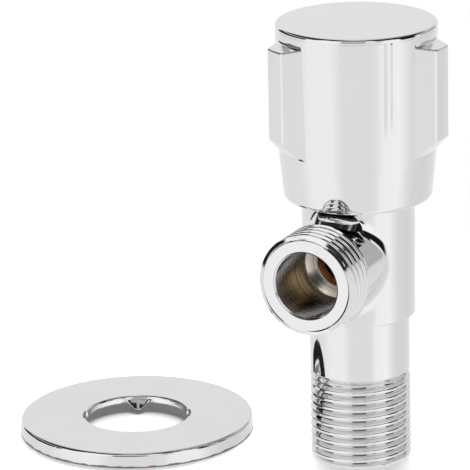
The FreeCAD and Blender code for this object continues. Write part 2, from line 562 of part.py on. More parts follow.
# ---------------------------------------------------------------- handle
def make_lobe():
    """One grip lobe, pointing along +X: square-shouldered on top and cut back at its foot."""
    tip = math.radians(LOBE_TIP_HALF_ANGLE)
    base = math.radians(LOBE_BASE_HALF_ANGLE)
    inside = RIM_RADIUS - HANDLE_WALL / 2
    tip_point = Vector(LOBE_TIP_RADIUS * math.cos(tip), LOBE_TIP_RADIUS * math.sin(tip), LOBE_FOOT_Z)
    base_point = Vector(RIM_RADIUS * math.cos(base), RIM_RADIUS * math.sin(base), LOBE_FOOT_Z)
    root_point = Vector(inside * math.cos(base), base_point.y, LOBE_FOOT_Z)
    corners = [(root_point, 0), (base_point, 0), (tip_point, LOBE_EDGE_ROUND)]
    corners += [(Vector(point.x, -point.y, point.z), radius) for point, radius in reversed(corners)]
    prism = Part.Face(rounded_wire(corners)).extrude(Vector(0, 0, LOBE_TOP_Z - LOBE_FOOT_Z))
    slope = LOBE_FOOT_HEIGHT / (LOBE_TIP_RADIUS - TAPER_TOP_RADIUS)
    spare = 1.0
    envelope = turned([(0, LOBE_FOOT_Z), (TAPER_TOP_RADIUS, LOBE_FOOT_Z),
                       (LOBE_TIP_RADIUS + spare, LOBE_FOOT_Z + LOBE_FOOT_HEIGHT + slope * spare),
                       (LOBE_TIP_RADIUS + spare, LOBE_TOP_Z), (0, LOBE_TOP_Z)])
    lobe = prism.common(envelope)
    top = [edge for edge in lobe.Edges if edge.BoundBox.ZMin > LOBE_TOP_Z - 0.01
           and edge.BoundBox.XMax > RIM_RADIUS]
    return lobe.makeFillet(LOBE_TOP_ROUND, top)


def make_handle_shell():
    """Skirted cup of the handle with its deck, hub and rim."""
    lip_top = SKIRT_Z + SKIRT_LIP_HEIGHT
    outline = [(SKIRT_INNER_RADIUS, SKIRT_Z, TURNING_GAP), (SKIRT_RADIUS, SKIRT_Z, SKIRT_EDGE_ROUND)]
    outline += [(TAPER_TOP_RADIUS, TAPER_TOP_Z, TAPER_BLEND_RADIUS)]
    outline += [(RIM_RADIUS, RIM_Z - SEAM_CHAMFER), (RIM_RADIUS - SEAM_CHAMFER, RIM_Z)]
    outline += [(CAVITY_RADIUS, RIM_Z)]
    outline += [(CAVITY_RADIUS, DECK_TOP_Z, DECK_ROUND), (0, DECK_TOP_Z), (0, HUB_Z), (HUB_RADIUS, HUB_Z)]
    outline += [(HUB_RADIUS, STEM_TOP_Z, HUB_ROUND), (CAVITY_RADIUS, STEM_TOP_Z, CAVITY_ROUND)]
    outline += [(CAVITY_RADIUS, lip_top + CAVITY_RADIUS - SKIRT_INNER_RADIUS), (SKIRT_INNER_RADIUS, lip_top)]
    return turned(outline)


def make_handle():
    """Cast handle with three lobes."""
    solid = make_handle_shell()
    for index in range(LOBE_COUNT):
        lobe = make_lobe()
        lobe.rotate(ORIGIN, Z_AXIS, LOBE_FIRST_ANGLE + index * 360 / LOBE_COUNT)
        solid = solid.fuse(lobe)
    socket = hexagon(INSERT_ACROSS_FLATS + SLIP_GAP, HUB_Z, STEM_TOP_Z - HUB_Z)
    hole = cylinder(SCREW_THREAD.major_radius + SCREW_HOLE_PLAY, STEM_TOP_Z, DECK_THICKNESS)
    return solid.cut(socket).cut(hole).removeSplitter()


def make_spline_insert():
    """Moulded bush that fits the hub's hexagon outside and the stem's spline inside."""
    bottom = HUB_Z + SLIP_GAP
    height = STEM_TOP_Z - INSERT_TOP_GAP - bottom
    return hexagon(INSERT_ACROSS_FLATS, bottom, height).cut(splined_bar(bottom, height, RUNNING_PLAY))


def make_screw_lock_washer():
    """Split spring washer under the screw's head."""
    inner = SCREW_THREAD.major_radius + SLIP_GAP
    outer = inner + LOCK_WASHER_WIDTH
    ring = tube(inner, outer, DECK_TOP_Z, LOCK_WASHER_THICKNESS)
    corner = Vector(0, -LOCK_WASHER_GAP / 2, DECK_TOP_Z)
    return ring.cut(Part.makeBox(outer, LOCK_WASHER_GAP, LOCK_WASHER_THICKNESS, corner))


def make_handle_screw():
    """Pan-head screw with a cross recess."""
    turns = int((STEM_TOP_Z - SCREW_TIP_Z) / SCREW_THREAD.pitch)
    head_top = SCREW_HEAD_Z + SCREW_HEAD_HEIGHT
    root = SCREW_THREAD.major_radius - SCREW_THREAD.depth
    outline = [(0, SCREW_TIP_Z)] + thread_rings(SCREW_THREAD, SCREW_TIP_Z, turns)
    outline += [(root, SCREW_HEAD_Z), (SCREW_HEAD_RADIUS, SCREW_HEAD_Z)]
    outline += [(SCREW_HEAD_RADIUS, head_top, SCREW_HEAD_ROUND), (0, head_top)]
    screw = turned(outline)
    recess_z = head_top - CROSS_RECESS_DEPTH
    screw = screw.cut(block(CROSS_RECESS_WIDTH, CROSS_RECESS_LENGTH, recess_z, CROSS_RECESS_DEPTH))
    return screw.cut(block(CROSS_RECESS_LENGTH, CROSS_RECESS_WIDTH, recess_z, CROSS_RECESS_DEPTH))


def make_handle_cap():
    """Round cap pushed into the handle's recess."""
    top = RIM_Z + CAP_THICKNESS
    skirt_z = RIM_Z - CAP_SKIRT_HEIGHT
    skirt = CAVITY_RADIUS - SLIP_GAP
    outline = [(0, top), (0, RIM_Z), (skirt - CAP_SKIRT_WALL, RIM_Z), (skirt - CAP_SKIRT_WALL, skirt_z)]
    outline += [(skirt, skirt_z), (skirt, RIM_Z), (CAP_RADIUS - SEAM_CHAMFER, RIM_Z)]
    outline += [(CAP_RADIUS, RIM_Z + SEAM_CHAMFER), (CAP_RADIUS, top, CAP_EDGE_ROUND)]
    return turned(outline)


# ---------------------------------------------------------------- cover ring
def make_tongue():
    """Spring tongue of the cover ring, pointing inwards along -X from the lip and sloping down."""
    half = TONGUE_WIDTH / 2
    tip = TONGUE_TIP_WIDTH / 2
    corners = [(Vector(0, half, 0), 0), (Vector(-TONGUE_LENGTH, tip, 0), TONGUE_TIP_ROUND),
               (Vector(-TONGUE_LENGTH, -tip, 0), TONGUE_TIP_ROUND), (Vector(0, -half, 0), 0)]
    plate = Part.Face(rounded_wire(corners)).extrude(Vector(0, 0, COVER_SHEET))
    plate.rotate(ORIGIN, Vector(0, 1, 0), -TONGUE_DROP_ANGLE)
    plate.translate(Vector(COVER_LIP_RADIUS + COVER_SHEET / 2, 0, COVER_HEIGHT - COVER_LIP_DEPTH))
    return plate


def make_escutcheon():
    """Pressed cover ring with a turned-down lip, two relief notches and two spring tongues."""
    lip_outer = COVER_LIP_RADIUS + COVER_SHEET
    lip_z = COVER_HEIGHT - COVER_LIP_DEPTH
    under = COVER_HEIGHT - COVER_SHEET
    outline = [(COVER_LIP_RADIUS, lip_z), (lip_outer, lip_z), (lip_outer, under)]
    outline += [(COVER_TOP_RADIUS - COVER_SHEET, under, COVER_EDGE_ROUND - COVER_SHEET)]
    outline += [(COVER_FOOT_RADIUS - COVER_SHEET, 0), (COVER_FOOT_RADIUS, 0)]
    outline += [(COVER_TOP_RADIUS, COVER_HEIGHT, COVER_EDGE_ROUND)]
    outline += [(COVER_LIP_RADIUS, COVER_HEIGHT, COVER_BEND_RADIUS)]
    ring = turned(outline)
    for side in (0, 180):
        notch = wedge(COVER_LIP_RADIUS - 1, lip_outer, 0, COVER_HEIGHT + 1,
                      side - COVER_NOTCH_HALF_ANGLE, side + COVER_NOTCH_HALF_ANGLE)
        ring = ring.cut(notch)
        tongue = make_tongue()
        tongue.rotate(ORIGIN, Z_AXIS, side + 90)
        ring = ring.fuse(tongue)
    ring = ring.removeSplitter()
    ring.rotate(ORIGIN, Z_AXIS, COVER_TURN)
    ring.translate(COVER_CENTRE)
    return ring


# ---------------------------------------------------------------- export
def make_parts():
    """All pieces by node name."""
    parts = {
        "valve_body": make_valve_body(),
        "bonnet": make_bonnet(),
        "bonnet_o_ring": make_bonnet_o_ring(),
        "seat_seal": make_seat_seal(),
        "seal_support_ring": make_seal_support_ring(),
        "fixed_ceramic_disc": make_fixed_ceramic_disc(),
        "rotating_ceramic_disc": make_rotating_ceramic_disc(),
        "stem": make_stem(),
        "thrust_washer": make_thrust_washer(),
        "stop_ring": make_stop_ring(),
        "circlip": make_circlip(),
        "spline_insert": make_spline_insert(),
        "handle": make_handle(),
        "screw_lock_washer": make_screw_lock_washer(),
        "handle_screw": make_handle_screw(),
        "handle_cap": make_handle_cap(),
        "escutcheon": make_escutcheon(),
    }
    for place, rise in O_RING_RISES.items():
        parts["stem_o_ring_" + place] = make_stem_o_ring(rise)
    return parts


os.makedirs("parts", exist_ok=True)
for node, shape in make_parts().items():
    solids = shape.Solids
    print(f"{node:24s} solids {len(solids)}  valid {shape.isValid()}  volume {shape.Volume:9.2f}")
    solids[0].exportStep(os.path.join("parts", node + ".step"))
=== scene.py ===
"""Looks of an angle stop valve and its loose cover ring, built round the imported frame.

The plated outside of the body, the handle and the cap are modelled here with exact shading normals,
because polished chrome shows every flaw of a facet. The cover ring is a welded copy of its packed
sheet. The two pipe threads are true helices made by Geometry Nodes. The headwork inside keeps its
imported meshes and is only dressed.
"""

import json
import logging
import math
from collections.abc import Callable
from dataclasses import dataclass
from enum import Enum

import bmesh
import bpy
from mathutils import Matrix, Vector

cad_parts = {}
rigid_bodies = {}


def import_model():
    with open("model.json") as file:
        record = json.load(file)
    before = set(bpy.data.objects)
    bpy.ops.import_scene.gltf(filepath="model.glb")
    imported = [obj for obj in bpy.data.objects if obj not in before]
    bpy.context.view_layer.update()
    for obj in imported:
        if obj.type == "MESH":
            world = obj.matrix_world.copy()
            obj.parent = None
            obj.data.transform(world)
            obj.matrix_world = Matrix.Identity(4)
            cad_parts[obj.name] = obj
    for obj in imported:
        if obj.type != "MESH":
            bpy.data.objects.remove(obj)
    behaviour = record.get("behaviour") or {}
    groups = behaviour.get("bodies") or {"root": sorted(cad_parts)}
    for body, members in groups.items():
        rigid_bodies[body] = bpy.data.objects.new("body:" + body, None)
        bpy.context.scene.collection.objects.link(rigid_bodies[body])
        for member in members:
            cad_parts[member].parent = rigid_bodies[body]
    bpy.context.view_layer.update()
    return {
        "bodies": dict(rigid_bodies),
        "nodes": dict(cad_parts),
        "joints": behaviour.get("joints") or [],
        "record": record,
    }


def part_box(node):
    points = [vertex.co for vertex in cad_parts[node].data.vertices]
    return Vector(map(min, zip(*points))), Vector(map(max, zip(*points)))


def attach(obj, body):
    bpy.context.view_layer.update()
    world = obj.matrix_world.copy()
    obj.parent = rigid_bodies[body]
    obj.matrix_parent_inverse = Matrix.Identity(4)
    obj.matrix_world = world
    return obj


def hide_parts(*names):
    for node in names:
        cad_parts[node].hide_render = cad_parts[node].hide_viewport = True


LOG = logging.getLogger("angle_valve")
MM = 0.001
FULL_TURN = 2 * math.pi
DEGREES = 180 / math.pi
TINY = 1e-6                # lengths in millimetres and angles in radians below this count as nothing
NO_LIMIT = 1e3             # longer than any stretch, in millimetres
PLACES_PER_METRE = 1e8     # points closer than one such place are welded

Colour = tuple[float, float, float]
Socket = bpy.types.NodeSocket


# ---------------------------------------------------------------- shape helpers
@dataclass(frozen=True)
class Corner:
    """One corner of a turned outline, in millimetres.

    Args:
        radius: Distance from the axis.
        height: Place along the axis.
        rounding: Radius of the arc that takes the corner off, or 0 for a sharp one.
        skin: Which material slot the stretch from this corner to the next one wears.
    """

    radius: float
    height: float
    rounding: float = 0.0
    skin: int = 0


@dataclass(frozen=True)
class Stretch:
    """A straight or round stretch of an outline: its points, its outward normals and its skin."""

    points: list[tuple[float, float]]
    normals: list[tuple[float, float]]
    skin: int


def unit(x: float, y: float) -> tuple[float, float]:
    """Return the plane vector at length one."""
    length = math.hypot(x, y)
    return x / length, y / length


def full_circle(count: int) -> list[float]:
    """Return the angles of evenly spaced spokes, with the first one again at the end."""
    return [FULL_TURN * (index % count) / count for index in range(count + 1)]


def add_object(name: str, data: bpy.types.ID) -> bpy.types.Object:
    """Make an object and put it into the scene.

    Args:
        name: The object's name.
        data: Its mesh, camera or light.

    Returns:
        The new object, at the origin.
    """
    made = bpy.data.objects.new(name, data)
    bpy.context.scene.collection.objects.link(made)
    return made


def turn_between(first: Vector, last: Vector, share: float) -> Vector:
    """Turn one unit vector evenly towards another.

    Args:
        first: Direction at share 0.
        last: Direction at share 1.
        share: How far to turn.

    Returns:
        The direction between them.
    """
    angle = first.angle(last)
    if angle < TINY:
        return first.copy()
    return (first * math.sin((1 - share) * angle) + last * math.sin(share * angle)) / math.sin(angle)


def stretches(corners: list[Corner], longest: float = NO_LIMIT, arc_step: float = 6.0) -> list[Stretch]:
    """Split a closed outline into straight and round stretches with exact normals.

    Args:
        corners: The outline's corners, anticlockwise with the radius to the right.
        longest: Longest step along a straight stretch.
        arc_step: Largest turn in degrees from one point of an arc to the next.

    Returns:
        The stretches in order round the outline.
    """
    count = len(corners)
    arcs = []
    for index, corner in enumerate(corners):
        before, after = corners[index - 1], corners[(index + 1) % count]
        into = unit(corner.radius - before.radius, corner.height - before.height)
        out = unit(after.radius - corner.radius, after.height - corner.height)
        turn = math.atan2(into[0] * out[1] - into[1] * out[0], into[0] * out[0] + into[1] * out[1])
        cut = corner.rounding * math.tan(abs(turn) / 2)
        start = (corner.radius - into[0] * cut, corner.height - into[1] * cut)
        end = (corner.radius + out[0] * cut, corner.height + out[1] * cut)
        arcs.append((start, end, into, out, turn))
    found = []
    for index, corner in enumerate(corners):
        start, end, into, out, turn = arcs[index]
        if corner.rounding > 0 and abs(turn) > TINY:
            steps = max(2, math.ceil(abs(math.degrees(turn)) / arc_step))
            reach = math.copysign(corner.rounding, turn)
            centre = (start[0] - into[1] * reach, start[1] + into[0] * reach)
            points, normals = [], []
            for step in range(steps + 1):
                angle = math.atan2(into[1], into[0]) + turn * step / steps
                normal = (math.sin(angle), -math.cos(angle))
                normals.append(normal)
                points.append((centre[0] + normal[0] * reach, centre[1] + normal[1] * reach))
            found.append(Stretch(points, normals, corners[index - 1].skin))
        following = arcs[(index + 1) % count][0]
        across, up = following[0] - end[0], following[1] - end[1]
        if math.hypot(across, up) > TINY:
            steps = math.ceil(math.hypot(across, up) / longest)
            points = [(end[0] + across * step / steps, end[1] + up * step / steps)
                      for step in range(steps + 1)]
            found.append(Stretch(points, [(out[1], -out[0])] * (steps + 1), corner.skin))
    return found


class Draft:
    """Collects the faces of one piece, each corner with its own exact normal."""

    def __init__(self) -> None:
        """Start an empty draft."""
        self.vertices: list[Vector] = []
        self.faces: list[tuple[int, ...]] = []
        self.normals: list[Vector] = []
        self.skins: list[int] = []

    def face(self, points: list[Vector], normals: list[Vector], skin: int) -> None:
        """Add one face, leaving out corners that fall together.

        Args:
            points: Corner places in metres, anticlockwise from outside.
            normals: One normal for each corner.
            skin: Material slot of the face.
        """
        kept = []
        for index, point in enumerate(points):
            if (point - points[index - 1]).length > 1 / PLACES_PER_METRE:
                kept.append(index)
        if len(kept) < 3:
            return
        first = len(self.vertices)
        self.vertices += [points[index] for index in kept]
        self.normals += [normals[index] for index in kept]
        self.faces.append(tuple(range(first, first + len(kept))))
        self.skins.append(skin)

    def strip(self, rows: list[list[Vector]], normals: list[list[Vector]], skin: int = 0) -> None:
        """Add the faces between neighbouring rows of points.

        Args:
            rows: Rows of points in metres, all of one length.
            normals: Rows of normals to match.
            skin: Material slot of the faces.
        """
        for r in range(len(rows) - 1):
            for c in range(len(rows[r]) - 1):
                points = [rows[r][c], rows[r][c + 1], rows[r + 1][c + 1], rows[r + 1][c]]
                tilts = [normals[r][c], normals[r][c + 1], normals[r + 1][c + 1], normals[r + 1][c]]
                self.face(points, tilts, skin)

    def turned(self, corners: list[Corner], axis: Matrix, segments: int, longest: float = NO_LIMIT) -> None:
        """Turn a closed outline round an axis.

        Args:
            corners: The outline, anticlockwise with the radius to the right.
            axis: Takes the outline's Z axis to the piece's own axis.
            segments: Faces round the axis.
            longest: Longest face along the outline, in millimetres.
        """
        rotation = axis.to_3x3()
        angles = full_circle(segments)
        for stretch in stretches(corners, longest):
            rows, tilts = [], []
            for (radius, height), (out, up) in zip(stretch.points, stretch.normals):
                rows.append([axis @ (Vector((radius * math.cos(a), radius * math.sin(a), height)) * MM)
                             for a in angles])
                tilts.append([rotation @ Vector((out * math.cos(a), out * math.sin(a), up)) for a in angles])
            self.strip(rows, tilts, stretch.skin)

    def remove_where(self, inside: Callable[[Vector], bool]) -> None:
        """Leave out every face whose middle passes a test.

        Args:
            inside: Takes a face's middle point and says whether the face goes.
        """
        kept_faces, kept_normals, kept_skins, kept_vertices = [], [], [], []
        for face, skin in zip(self.faces, self.skins):
            middle = sum((self.vertices[i] for i in face), Vector()) / len(face)
            if inside(middle):
                continue
            first = len(kept_vertices)
            kept_vertices += [self.vertices[i] for i in face]
            kept_normals += [self.normals[i] for i in face]
            kept_faces.append(tuple(range(first, first + len(face))))
            kept_skins.append(skin)
        self.vertices, self.faces = kept_vertices, kept_faces
        self.normals, self.skins = kept_normals, kept_skins

    def join(self, other: "Draft") -> None:
        """Add another draft's faces to this one.

        Args:
            other: The draft to add.
        """
        shift = len(self.vertices)
        self.vertices += other.vertices
        self.normals += other.normals
        self.faces += [tuple(i + shift for i in face) for face in other.faces]
        self.skins += other.skins

    def piece(self, name: str, materials: list[bpy.types.Material]) -> bpy.types.Object:
        """Weld the faces into one mesh with its exact normals kept.

        Args:
            name: The piece's name.
            materials: Its material slots in order.

        Returns:
            The new object, at the origin.
        """
        index_of: dict[tuple[int, int, int], int] = {}
        places, faces, normals, skins = [], [], [], []
        for face, skin in zip(self.faces, self.skins):
            ring = []
            for i in face:
                key = tuple(round(value * PLACES_PER_METRE) for value in self.vertices[i])
                if key not in index_of:
                    index_of[key] = len(places)
                    places.append(self.vertices[i])
                ring.append(index_of[key])
            if len(set(ring)) < len(ring):
                continue
            faces.append(ring)
            normals += [self.normals[i].normalized() for i in face]
            skins.append(skin)
        mesh = bpy.data.meshes.new(name)
        mesh.from_pydata(places, [], faces)
        for material in materials:
            mesh.materials.append(material)
        mesh.polygons.foreach_set("material_index", skins)
        mesh.polygons.foreach_set("use_smooth", [True] * len(faces))
        mesh.normals_split_custom_set(normals)
        mesh.update()
        return add_object(name, mesh)


UPRIGHT = Matrix.Identity(4)


def sideways(height: float) -> Matrix:
    """Axis that runs out along -Y at this height in millimetres."""
    return Matrix.Translation((0, 0, height * MM)) @ Matrix.Rotation(math.radians(90), 4, "X")


# ---------------------------------------------------------------- node helpers
class NodeSheet:
    """Short way to place and join the nodes of one tree."""

    def __init__(self, tree: bpy.types.NodeTree) -> None:
        """Keep the tree that the nodes go into."""
        self.tree = tree

    def add(self, kind: str, values: dict | None = None, **settings: object) -> bpy.types.Node:
        """Place a node.

        Args:
            kind: The node's type name.
            values: Socket index or name to a plain value or another node's output.
            settings: The node's own properties.

        Returns:
            The new node.
        """
        node = self.tree.nodes.new(kind)
        for key, value in settings.items():
            setattr(node, key, value)
        for socket, value in (values or {}).items():
            if isinstance(value, Socket):
                self.tree.links.new(value, node.inputs[socket])
            else:
                node.inputs[socket].default_value = value
        return node

    def math(self, operation: str, *values: object) -> Socket:
        """Place a Math node and return its output."""
        return self.add("ShaderNodeMath", dict(enumerate(values)), operation=operation).outputs[0]

    def vector(self, operation: str, *values: object) -> bpy.types.Node:
        """Place a Vector Math node."""
        return self.add("ShaderNodeVectorMath", dict(enumerate(values)), operation=operation)

    def coordinate(self, place: Socket, index: int) -> Socket:
        """Return one coordinate of a place, 0 to 2."""
        return self.add("ShaderNodeSeparateXYZ", {0: place}).outputs[index]

    def noise(self, place: Socket, scale: Socket | float, detail: float) -> Socket:
        """Place a noise and return its value."""
        return self.add("ShaderNodeTexNoise", {"Vector": place, "Scale": scale, "Detail": detail}).outputs[0]

    def share(self, value: Socket, start: float, end: float, top: float = 1.0, soft: bool = False) -> Socket:
        """Tell how far a value has come from one mark to another.

        Args:
            value: What is measured.
            start: Where the share is 0.
            end: Where it reaches its top.
            top: The share at the end.
            soft: Whether it eases in and out.

        Returns:
            The share.
        """
        values = {"Value": value, "From Min": start, "From Max": end, "To Max": top}
        easing = "SMOOTHSTEP" if soft else "LINEAR"
        return self.add("ShaderNodeMapRange", values, interpolation_type=easing).outputs[0]

    def blend(self, factor: Socket, first: Socket | Colour, last: Socket | Colour) -> Socket:
        """Blend two colours.

        Args:
            factor: 0 for the first colour, 1 for the last.
            first: A plain colour or another node's output.
            last: The same.

        Returns:
            The colour between them.
        """
        start, end = (colour if isinstance(colour, Socket) else (*colour, 1) for colour in (first, last))
        return self.add("ShaderNodeMix", {"Factor": factor, 6: start, 7: end}, data_type="RGBA").outputs[2]

    def mix_shaders(self, factor: Socket, first: Socket, last: Socket) -> Socket:
        """Mix two shaders and return the mixture."""
        return self.add("ShaderNodeMixShader", {0: factor, 1: first, 2: last}).outputs[0]

    def bump(self, height: Socket, strength: float, distance: float) -> Socket:
        """Bend the surface's normal by a relief.

        Args:
            height: The relief, from 0 to 1.
            strength: Share of the bend that shows.
            distance: How high 1 stands, in metres.

        Returns:
            The bent normal.
        """
        values = {"Strength": strength, "Distance": distance, "Height": height}
        return self.add("ShaderNodeBump", values).outputs[0]

    def ramp(self, value: Socket, stops: list[tuple[float, Colour]]) -> Socket:
        """Place a colour ramp and return its colour.

        Args:
            value: What drives it.
            stops: Places from 0 to 1 with their colours.

        Returns:
            The colour output.
        """
        node = self.add("ShaderNodeValToRGB", {0: value})
        band = node.color_ramp
        while len(band.elements) < len(stops):
            band.elements.new(0.5)
        for element, (place, colour) in zip(band.elements, stops):
            element.position = place
            element.color = (*colour, 1)
        return node.outputs[0]


class MaterialSheet(NodeSheet):
    """Node sheet of one material, with the Object coordinates at hand."""

    def __init__(self, name: str) -> None:
        """Start the material.

        Args:
            name: The material's name.
        """
        self.material = bpy.data.materials.new(name)
        self.material.use_nodes = True
        super().__init__(self.material.node_tree)
        self.place = self.add("ShaderNodeTexCoord").outputs["Object"]

    def effect(self, group: bpy.types.NodeTree, **values: object) -> bpy.types.NodeOutputs:
        """Place a shared effect on the Object coordinates.

        Args:
            group: The effect's node group.
            values: Its other inputs, with _ for a space in the name.

        Returns:
            The effect's outputs.
        """
        inputs = {name.replace("_", " "): value for name, value in values.items()}
        return self.add("ShaderNodeGroup", {"Place": self.place, **inputs}, node_tree=group).outputs

    def finish(self, colour: Socket, roughness: Socket, metallic: float = 1.0,
               normal: Socket | None = None) -> bpy.types.Material:
        """Join the looks to the Principled shader.

        Args:
            colour: Base colour.
            roughness: Roughness.
            metallic: 1 for a metal, 0 for anything else.
            normal: The bent normal, where there is a relief.

        Returns:
            The finished material.
        """
        shader = self.tree.nodes["Principled BSDF"]
        for socket, value in (("Base Color", colour), ("Roughness", roughness), ("Normal", normal)):
            if value is not None:
                self.tree.links.new(value, shader.inputs[socket])
        shader.inputs["Metallic"].default_value = metallic
        return self.material


# ---------------------------------------------------------------- shared effects
def effect_group(name: str, inputs: dict[str, float], outputs: tuple[str, ...],
                 ) -> tuple[NodeSheet, bpy.types.NodeOutputs]:
    """Start a shader node group that takes a place and some numbers and puts out numbers.

    Args:
        name: The group's name.
        inputs: The numbers it takes, with their first values.
        outputs: The numbers it puts out.

    Returns:
        Its sheet and what its input node gives.
    """
    tree = bpy.data.node_groups.new(name, "ShaderNodeTree")
    tree.interface.new_socket("Place", in_out="INPUT", socket_type="NodeSocketVector")
    for socket, value in inputs.items():
        made = tree.interface.new_socket(socket, in_out="INPUT", socket_type="NodeSocketFloat")
        made.default_value = value
    for socket in outputs:
        tree.interface.new_socket(socket, in_out="OUTPUT", socket_type="NodeSocketFloat")
    sheet = NodeSheet(tree)
    return sheet, sheet.add("NodeGroupInput").outputs


class SharedEffects:
    """Surface effects that several finishes use, each one shader node group."""

    HAIRLINE_STRETCH = (1.0, 1.0, 0.06)
    HAIRLINE_TONES = (0.62, 0.75)
    MARK_WOBBLE = 0.00035
    WOBBLES_PER_METRE = 250.0
    UNEVEN_PER_METRE = 1400.0
    SPECK_RADIUS = 0.25

    def __init__(self) -> None:
        """Build the groups once."""
        self.haze = self._polishing_haze()
        self.marks = self._turning_marks()
        self.grains = self._grains()

    def _polishing_haze(self) -> bpy.types.NodeTree:
        """Soft cloudy wipe marks that a buffing wheel leaves, with a few short hairlines.

        Returns:
            The group: Cloud and Hairline masks from 0 to 1.
        """
        sheet, given = effect_group("polishing_haze", {"Cloud Scale": 160.0, "Hairline Scale": 900.0},
                                    ("Cloud", "Hairline"))
        cloud = sheet.noise(given["Place"], given["Cloud Scale"], 3.0)
        drawn = sheet.add("ShaderNodeMapping", {"Vector": given["Place"], "Scale": self.HAIRLINE_STRETCH})
        hair = sheet.noise(drawn.outputs[0], given["Hairline Scale"], 2.0)
        sharp = sheet.share(hair, *self.HAIRLINE_TONES)
        sheet.add("NodeGroupOutput", {"Cloud": cloud, "Hairline": sharp})
        return sheet.tree

    def _turning_marks(self) -> bpy.types.NodeTree:
        """Fine rings that a lathe tool leaves round an axis, uneven in depth and width.

        Returns:
            The group: Height of the marks and a Tone mask, both from 0 to 1.
        """
        numbers = {"Along": 0.0, "Marks Per Metre": 6000.0, "Unevenness": 0.5}
        sheet, given = effect_group("turning_marks", numbers, ("Height", "Tone"))
        wobble = sheet.noise(given["Place"], self.WOBBLES_PER_METRE, 2.0)
        shifted = sheet.math("MULTIPLY_ADD", wobble, self.MARK_WOBBLE, given["Along"])
        turns = sheet.math("MULTIPLY", given["Marks Per Metre"], FULL_TURN)
        wave = sheet.math("SINE", sheet.math("MULTIPLY", shifted, turns))
        line = sheet.math("MULTIPLY", given["Along"], self.UNEVEN_PER_METRE)
        uneven = sheet.noise(sheet.add("ShaderNodeCombineXYZ", {0: line}).outputs[0], 1.0, 3.0)
        mixed = sheet.add("ShaderNodeMix", {"Factor": given["Unevenness"], "B": uneven,
                                            "A": sheet.math("MULTIPLY_ADD", wave, 0.5, 0.5)})
        sheet.add("NodeGroupOutput", {"Height": mixed.outputs[0], "Tone": uneven})
        return sheet.tree

    def _grains(self) -> bpy.types.NodeTree:
        """Fine grain of a cast, moulded or sintered surface.

        Returns:
            The group: Height and Speck, both from 0 to 1.
        """
        sheet, given = effect_group("surface_grain", {"Grains Per Metre": 3000.0}, ("Height", "Speck"))
        fine = sheet.noise(given["Place"], given["Grains Per Metre"], 4.0)
        cells = sheet.add("ShaderNodeTexVoronoi", {"Vector": given["Place"],
                                                   "Scale": given["Grains Per Metre"]})
        speck = sheet.share(cells.outputs["Distance"], self.SPECK_RADIUS, 0.0)
        sheet.add("NodeGroupOutput", {"Height": fine, "Speck": speck})
        return sheet.tree


